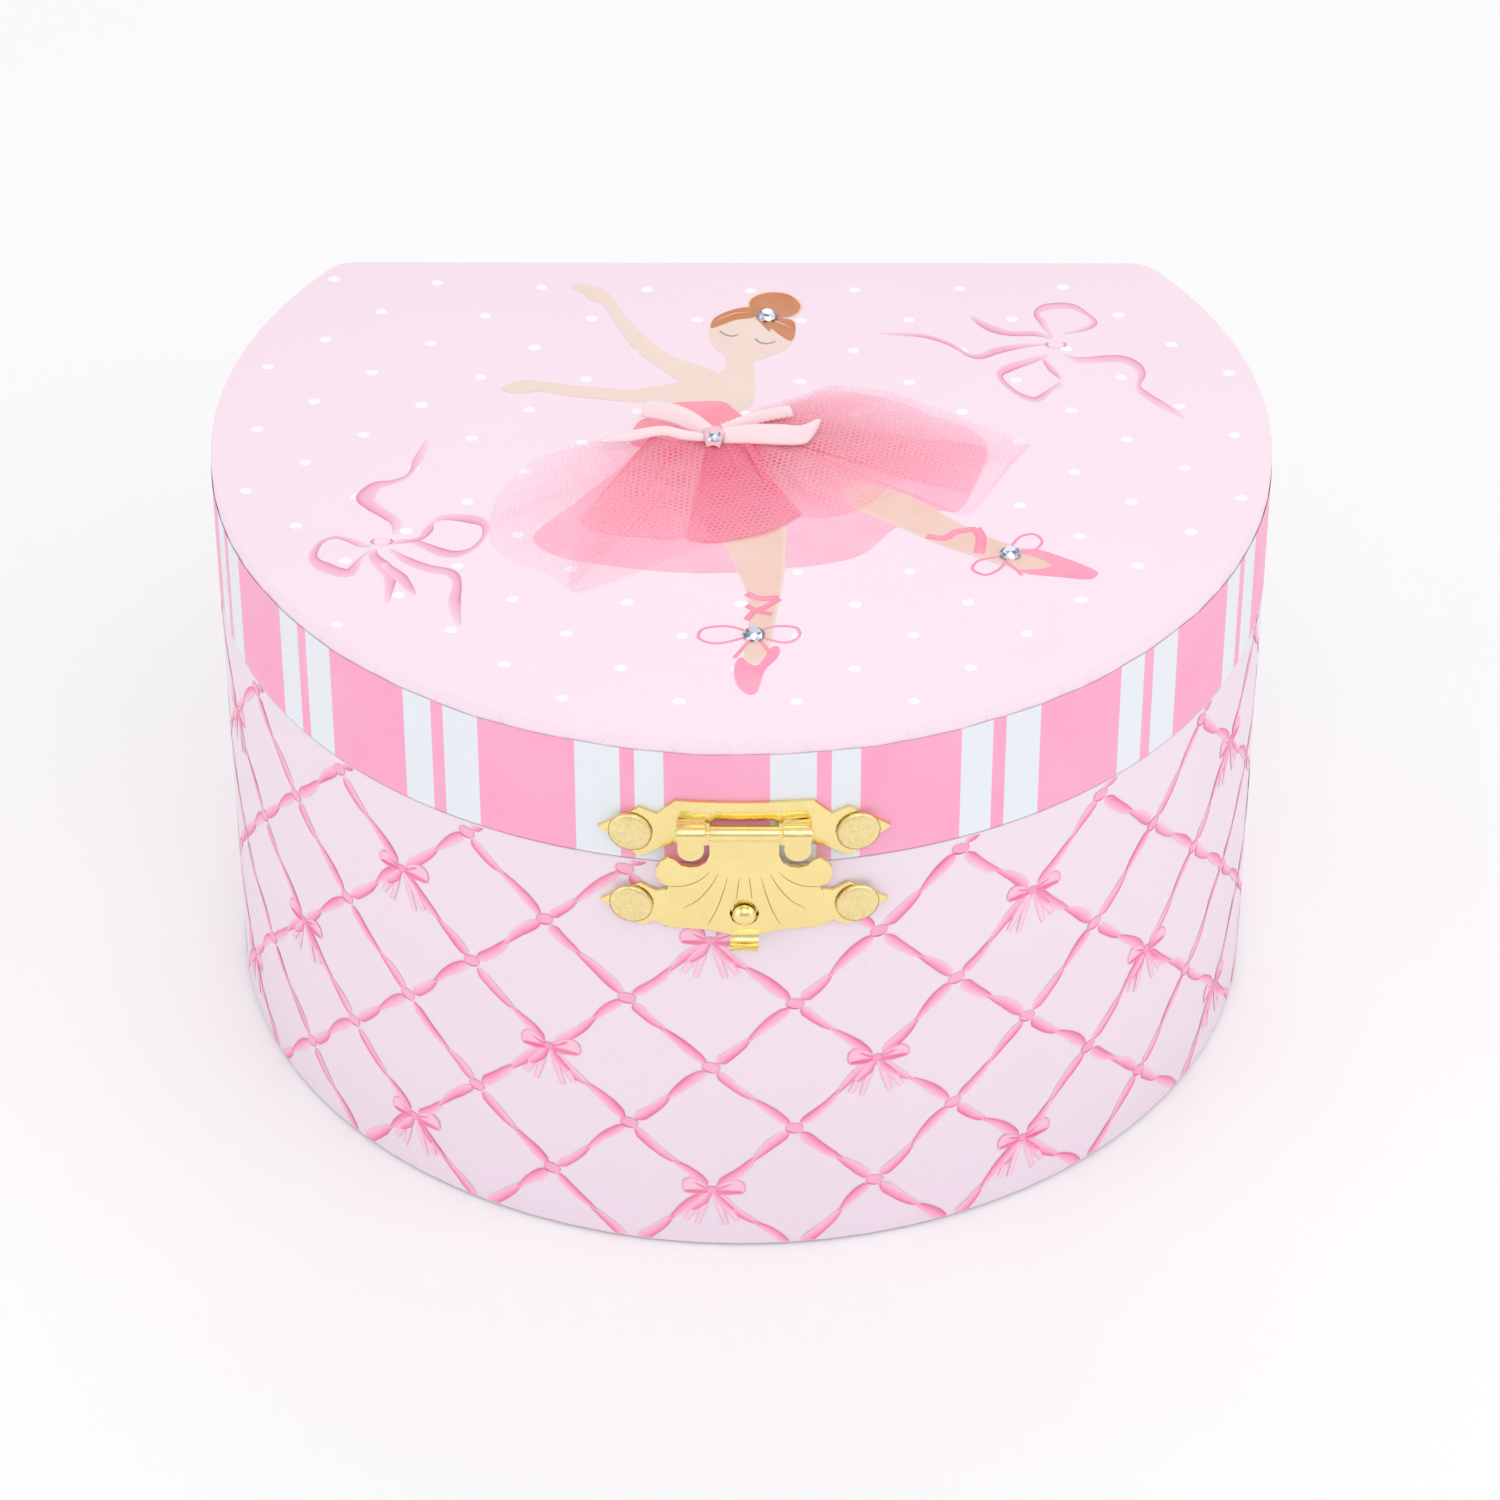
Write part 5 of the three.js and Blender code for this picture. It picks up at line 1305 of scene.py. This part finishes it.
def padded_roll(node):
    """A stuffed velvet roll: round on top, flat where it rests, its ends gathered and drawn in."""
    low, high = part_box(node)
    size = high - low
    rows, columns = 44, 40
    points = []
    rng = random.Random(node)
    sag = [rng.uniform(-1, 1) for _ in range(4)]
    for i in range(rows):
        t = i / (rows - 1)
        end = min(t, 1 - t) * 2
        draw = min(1.0, (end * 9) ** 0.5) if end < 0.111 else 1.0
        x = low.x + size.x * (ROLL_START + ROLL_LENGTH * t)
        for j in range(columns):
            a = 2 * math.pi * j / columns
            pucker = 1 + 0.05 * math.sin(11 * a + 2 * sag[0]) * max(0.0, 1 - end * 9)
            slack = 1 + 0.012 * math.sin(5 * t + sag[1] * 3 + 2 * a) + 0.008 * math.sin(19 * t + sag[2] * 5)
            y = math.cos(a) * size.y / 2 * draw * pucker * slack * ROLL_GIRTH
            z = max(math.sin(a), -0.93) * size.z / 2 * (0.35 + 0.65 * draw) * pucker * slack * ROLL_GIRTH
            points.append((x, (low.y + high.y) / 2 + y, (low.z + high.z) / 2 + z))
    name = node.replace("ring_roll", "velvet_roll")
    obj = mesh_object(name, points, tube_faces(rows, columns), FINISH["velvet"], "case")
    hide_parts(node)


for number in range(1, 5):
    padded_roll(f"ring_roll_{number}")


PAD_BEVEL = 0.45
PAD_ANGLE = 0.6  # in radians: only edges sharper than this are rounded
PAD_WOBBLE = 0.06


def bin_pad(node):
    """A thin velvet pad with a soft rolled edge, on the bin's floor."""
    source = frame["nodes"][node]
    _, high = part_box(node)
    obj = bpy.data.objects.new(node.replace("bin_pad", "velvet_pad"), source.data.copy())
    scene.collection.objects.link(obj)
    set_material(obj, FINISH["velvet"])
    modify(obj, "WELD", merge_threshold=WELD_GAP)
    modify(obj, "BEVEL", width=PAD_BEVEL * MM, segments=4, limit_method="ANGLE", angle_limit=PAD_ANGLE)
    apply_modifiers(obj)
    for vertex in obj.data.vertices:
        if vertex.co.z > high.z - 1e-5:
            wobble = math.sin(vertex.co.x * 300) * math.cos(vertex.co.y * 260)
            vertex.co.z += PAD_WOBBLE * MM * wobble
    shade_smooth(obj)
    modify(obj, "EDGE_SPLIT", split_angle=PAD_ANGLE)
    apply_modifiers(obj)
    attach(obj, "case")
    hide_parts(node)


for side in ("left", "right"):
    bin_pad(f"bin_pad_{side}")


# ---- pieces that bend across a joint ----
def smooth_step(t):
    """From 0 to 1, easing in and out."""
    t = min(max(t, 0.0), 1.0)
    return t * t * (3 - 2 * t)


def shut_place(open_point, pivot, angle, start, end):
    """Where a point of a bending piece lies with the lid shut, from where it lies with the lid open."""
    span = end - start

    def at_weight(weight):
        turn = Matrix.Rotation(weight * angle, 4, "X")
        return pivot + turn @ (open_point - pivot)

    low, high = 0.0, 1.0
    for _ in range(40):
        middle = (low + high) / 2
        place = at_weight(middle)
        if smooth_step((place - start).dot(span) / span.length_squared) > middle:
            low = middle
        else:
            high = middle
    return at_weight((low + high) / 2)


# The stay ribbon's left and right edges, its place from front to back, and the heights of its ends on the
# case and on the lid.
STAY_LEFT, STAY_RIGHT = 64.0, 71.0
STAY_Y = -2.0
STAY_ENDS = (67.2, 81.8)
STAY_THICKNESS = 0.22
# Each end is held under a tab: its body, its height and how far to the right it runs.
STAY_TABS = {"stay_tab_case": ("case", 67.2, 75.2), "stay_tab_lid": ("lid", 81.8, 76.6)}
TAB_LEFT = 64.2


def stay_ribbon():
    """The ribbon is straight and taut with the lid open, and folds back towards the hinge as it shuts."""
    start, end = (at(0, STAY_Y, z) for z in STAY_ENDS)
    far = HINGE + Matrix.Rotation(-LID_OPEN, 4, "X") @ (end - HINGE)
    rows, columns = 70, 9
    points, cut = [], []
    for i in range(rows):
        middle = start.lerp(far, i / (rows - 1))
        opened = Vector((0, middle.y, middle.z))
        shut = shut_place(opened, Vector((0, HINGE.y, HINGE.z)), LID_OPEN, start, end)
        for j in range(columns):
            s = j / (columns - 1)
            x = (STAY_LEFT + (STAY_RIGHT - STAY_LEFT) * s) * MM
            points.append((x, shut.y, shut.z + 0.00003 * math.sin(9 * s + i * 0.3)))
            cut.append((i * 1.2, s * (STAY_RIGHT - STAY_LEFT)))
    obj = mesh_object("satin_stay", points, grid_faces(rows, columns), SATIN, cut=cut)
    modify(obj, "SOLIDIFY", thickness=STAY_THICKNESS * MM, offset=0)
    apply_modifiers(obj)
    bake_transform(obj)
    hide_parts("stay_ribbon")
    for name, (body, z, reach) in STAY_TABS.items():
        path = [(TAB_LEFT + (reach - TAB_LEFT) * k / 5, STAY_Y - 0.02 * k, z) for k in range(6)]
        ribbon_strip(name, path, (2.2, 2.2), SATIN, body, thickness=STAY_THICKNESS, crown=0.02)


stay_ribbon()


# All in metres. The cloth lies just in from its piece's back, is pressed in along the seam, and bends
# there.
CLOTH_INSET = 0.00012
CLOTH_GROOVE = 0.00016
GROOVE_HALF = 0.0012
CLOTH_THICKNESS = 0.0002


def hinge_cloth():
    """Book cloth glued across the back of the seam."""
    low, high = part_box("hinge_strip")
    rows, columns = 61, 121
    points, cut = [], []
    for i in range(rows):
        z = low.z + (high.z - low.z) * i / (rows - 1)
        for j in range(columns):
            x = low.x + (high.x - low.x) * j / (columns - 1)
            groove = CLOTH_GROOVE * math.exp(-(((z - HINGE.z) / GROOVE_HALF) ** 2))
            points.append((x, high.y - CLOTH_INSET - groove, z))
            cut.append((x / MM, z / MM))
    finish = cloth_finish("book_cloth", linear("F7C0D6"), 0.7)
    obj = mesh_object("hinge_cloth", points, grid_faces(rows, columns), finish, cut=cut)
    modify(obj, "SOLIDIFY", thickness=CLOTH_THICKNESS, offset=0)
    apply_modifiers(obj)
    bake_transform(obj)
    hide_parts("hinge_strip")


hinge_cloth()


def dancer_spring():
    """A fine coil, upright with the lid open and bent forward as it shuts."""
    coils, reach, wire, radius = 8, 4.45 * MM, 0.3 * MM, 2.2 * MM
    steps, sides = coils * 22, 8
    start = PIVOT - Vector((0, 0, reach))
    end = PIVOT + SPIN_AXIS * reach
    centres = []
    for i in range(steps + 1):
        t = i / steps
        turn = 2 * math.pi * coils * t
        upright = PIVOT + Vector((radius * math.cos(turn), radius * math.sin(turn), (2 * t - 1) * reach))
        centres.append(shut_place(upright, PIVOT, LEAN, start, end))
    points = []
    for i, centre in enumerate(centres):
        ahead = (centres[min(i + 1, steps)] - centres[max(i - 1, 0)]).normalized()
        up = Vector((1, 0, 0)).cross(ahead)
        up = up.normalized() if up.length > 1e-3 else Vector((0, 0, 1))
        over = ahead.cross(up).normalized()
        up = over.cross(ahead)
        for j in range(sides):
            a = 2 * math.pi * j / sides
            points.append(centre + (up * math.cos(a) + over * math.sin(a)) * wire)
    obj = mesh_object("coil_spring", points, tube_faces(steps + 1, sides), FINISH["steel"])
    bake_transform(obj)
    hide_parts("dancer_spring")


dancer_spring()


# ---- the dancer ----
LEANED = Matrix.Translation(PIVOT) @ Matrix.Rotation(LEAN, 4, "X")
FIGURE_BASE = 7.3  # the slipper's tip above the middle of the spring
ROUND = 24  # sides of the turned parts
DEPTH = 0.86  # how deep they are for their width
FLESH = linear("F4CDB4")
TIGHTS = linear("FBE3DF")
LEOTARD = linear("F2789C")
SLIPPERS = linear("F07CA0")
BROWN = linear("6B3F22")


def lathe(profile, back=0.0):
    """Points and faces of a turned part from its (radius, height) pairs; back is how far behind it stands."""
    points = []
    for radius, height in profile:
        for k in range(ROUND):
            a = 2 * math.pi * k / ROUND
            points.append((radius * math.cos(a), back + DEPTH * radius * math.sin(a), height))
    return points, grid_faces(len(profile), ROUND, wrap=True)


def capsule_chain(path, radii):
    """A limb: rings along a smooth path, closed at both ends."""
    samples, sides = 40, 12
    line = spline(path, samples)
    sizes = spread(radii, samples)
    heading = np.gradient(line, axis=0)
    points = []
    for i in range(samples):
        ahead = Vector(heading[i]).normalized()
        side = ahead.orthogonal().normalized()
        up = ahead.cross(side)
        for k in range(sides):
            a = 2 * math.pi * k / sides
            points.append(Vector(line[i]) + (side * math.cos(a) + up * math.sin(a)) * sizes[i])
    return points, tube_faces(samples, sides)


TORSO_PROFILE = [
    (0.01, 22.2), (1.7, 22.4), (2.5, 24.0), (2.45, 25.6), (1.7, 28.0), (1.9, 30.2), (2.25, 32.2), (1.9, 34.2),
    (0.95, 35.4), (0.78, 36.6), (0.85, 37.4), (0.01, 37.6),
]
HEAD_PROFILE = [
    (0.02, 37.0), (1.0, 37.2), (1.75, 38.4), (2.15, 40.0), (2.2, 41.2), (1.7, 42.8), (0.8, 43.6),
    (0.02, 43.8),
]
BUN_PROFILE = [(0.02, 42.8), (0.9, 43.0), (1.3, 43.9), (1.2, 44.9), (0.6, 45.6), (0.02, 45.7)]
STANDING_LEG = [(0, 0, 0.4), (0, 0, 4), (0, 0, 9.5), (0, 0.1, 12.5), (0, 0, 18), (0.3, 0, 23.5)]
BENT_LEG = [(0.7, 0, 23), (3.2, -2.2, 21.6), (5.4, -4.4, 19.6), (3.8, -2.9, 14.8), (1.2, -0.9, 10.2)]
ARM = [(1.7, 0, 33.6), (4.4, 0.3, 36.6), (6.0, 0.2, 40.6), (4.9, -0.2, 45.0), (1.9, -0.6, 48.3)]


def figure_shell():
    """Overlapping limbs, torso and head, fused by a fine remesh into one moulded figure."""
    parts = [
        lathe(TORSO_PROFILE),
        capsule_chain(STANDING_LEG, [0.55, 0.72, 1.15, 0.92, 1.45, 1.7]),
        capsule_chain(BENT_LEG, [1.6, 1.35, 0.95, 0.95, 0.45]),
    ]
    for side in (-1, 1):
        arm = [(side * x, y, z) for x, y, z in ARM]
        parts.append(capsule_chain(arm, [0.82, 0.66, 0.52, 0.44, 0.34]))
    parts += [lathe(HEAD_PROFILE), lathe(BUN_PROFILE, 0.5)]
    points, faces = [], []
    for part_points, part_faces in parts:
        base = len(points)
        points.extend(tuple(p) for p in part_points)
        faces.extend(tuple(base + k for k in face) for face in part_faces)
    return points, faces


def figure_colour(x, y, z):
    """Paint by place: hair, face, leotard, tights and slippers. Heights are from the slipper's tip."""
    up_foot = (z - 10.2) / 4.6
    off_foot = math.hypot(x - 1.2 - 2.6 * up_foot, y + 0.9 + 2.0 * up_foot)
    bent_foot = 9.5 < z < 13.2 and math.hypot(x, y) > 1.22 and off_foot < 1.3
    on_head = abs(x) < 2.6 and z < 46
    if on_head and (z > 42.6 or (z > 39.3 and y > 0.55) or (z > 41.6 and y > -1.2 and z > 41.6 + 0.3 * y)):
        return BROWN
    if z > 34.6 or (abs(x) > 2.05 and z > 32.5):
        return FLESH
    if z > 23.2 and abs(x) < 3.2:
        return LEOTARD
    if z < 3.0 or bent_foot:
        return SLIPPERS
    return TIGHTS


def figure():
    points, faces = figure_shell()
    obj = mesh_object("painted_dancer", [Vector(p) * MM for p in points], faces, FINISH["figure_plastic"])
    modify(obj, "REMESH", mode="VOXEL", voxel_size=0.22 * MM)
    modify(obj, "SMOOTH", factor=0.6, iterations=6)
    apply_modifiers(obj)
    paint(obj.data, [figure_colour(*(v.co / MM)) for v in obj.data.vertices])
    for vertex in obj.data.vertices:
        vertex.co.z += FIGURE_BASE * MM
    obj.data.transform(LEANED)
    shade_smooth(obj)
    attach(obj, "dancer")
    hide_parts("dancer_figure")
    face_paint()


def face_paint():
    """Closed lashes, brows, cheeks and a small mouth, of a plain doll's face."""
    sheet = Sheet()
    for side in (-1, 1):
        lash = [(side * 0.42, 40.35), (side * 0.8, 40.1), (side * 1.2, 40.35)]
        sheet.stroke(lash, [0.06, 0.16, 0.08], BROWN, BROWN, 2, 14, 3)
        brow = [(side * 0.42, 41.05), (side * 0.8, 41.22), (side * 1.2, 41.08)]
        sheet.stroke(brow, [0.04, 0.1, 0.04], BROWN, BROWN, 2, 14, 3)
        sheet.blob(oval(side * 1.05, 39.5, 0.3, 0.26), CHEEK, 1, 16, FLESH)
    sheet.stroke([(-0.34, 38.85), (0, 38.72), (0.34, 38.85)], [0.05, 0.18, 0.05], LEOTARD, LEOTARD, 2, 14, 3)

    def on_face(x, z, height):
        radii, heights = zip(*HEAD_PROFILE[1:6])
        profile = np.interp(z, heights, radii)
        depth = DEPTH * math.sqrt(max(profile**2 - x * x, 0.05)) + 0.02 + height
        return LEANED @ (Vector((x, -depth, z + FIGURE_BASE)) * MM)

    sheet.lay("dancer_face", on_face, "dancer")


figure()


# Each round of the tutu: how far it reaches, its height and how far its edge hangs.
TUTU_ROUNDS = [(14.4, 33.9, 1.6), (13.6, 34.4, 0.8), (12.4, 34.9, 0.1)]
TUTU_WAIST = 2.6


def tutu():
    """Three gathered rounds of net that stand out from the waist."""
    material = net_finish("tutu_net", linear("FBA9C0"), 0.25, 0.9)
    rows, columns = 12, 220
    for k, (reach, height, droop) in enumerate(TUTU_ROUNDS):
        points, cut = [], []
        for i in range(rows):
            r = i / (rows - 1)
            for j in range(columns):
                a = 2 * math.pi * j / columns
                flutter = 0.5 * r * math.sin(22 * a + k) + 0.22 * r * math.sin(41 * a + 2 * k)
                radius = TUTU_WAIST + (reach - TUTU_WAIST) * r * (1 + 0.02 * math.sin(9 * a + k))
                z = height - droop * r * r - 0.3 * r + flutter * 0.9
                points.append(LEANED @ (Vector((radius * math.cos(a), radius * math.sin(a), z)) * MM))
                cut.append((a * reach * 1.6, radius))
        faces = grid_faces(rows, columns, wrap=True)
        obj = mesh_object(f"tutu_{k + 1}", points, faces, material, "dancer", cut=cut)
    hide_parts("dancer_tutu")


tutu()

# ---- floor ----
def add_floor():
    g = Graph("pale_floor")
    g.set(Base_Color=g.mix(g.noise(3.0), (0.97, 0.97, 0.97, 1.0), (0.94, 0.94, 0.945, 1.0)), Roughness=0.7)
    corners = [(-6, -6, 0), (6, -6, 0), (6, 6, 0), (-6, 6, 0)]
    mesh_object("floor", corners, [(0, 1, 2, 3)], g.material)


add_floor()
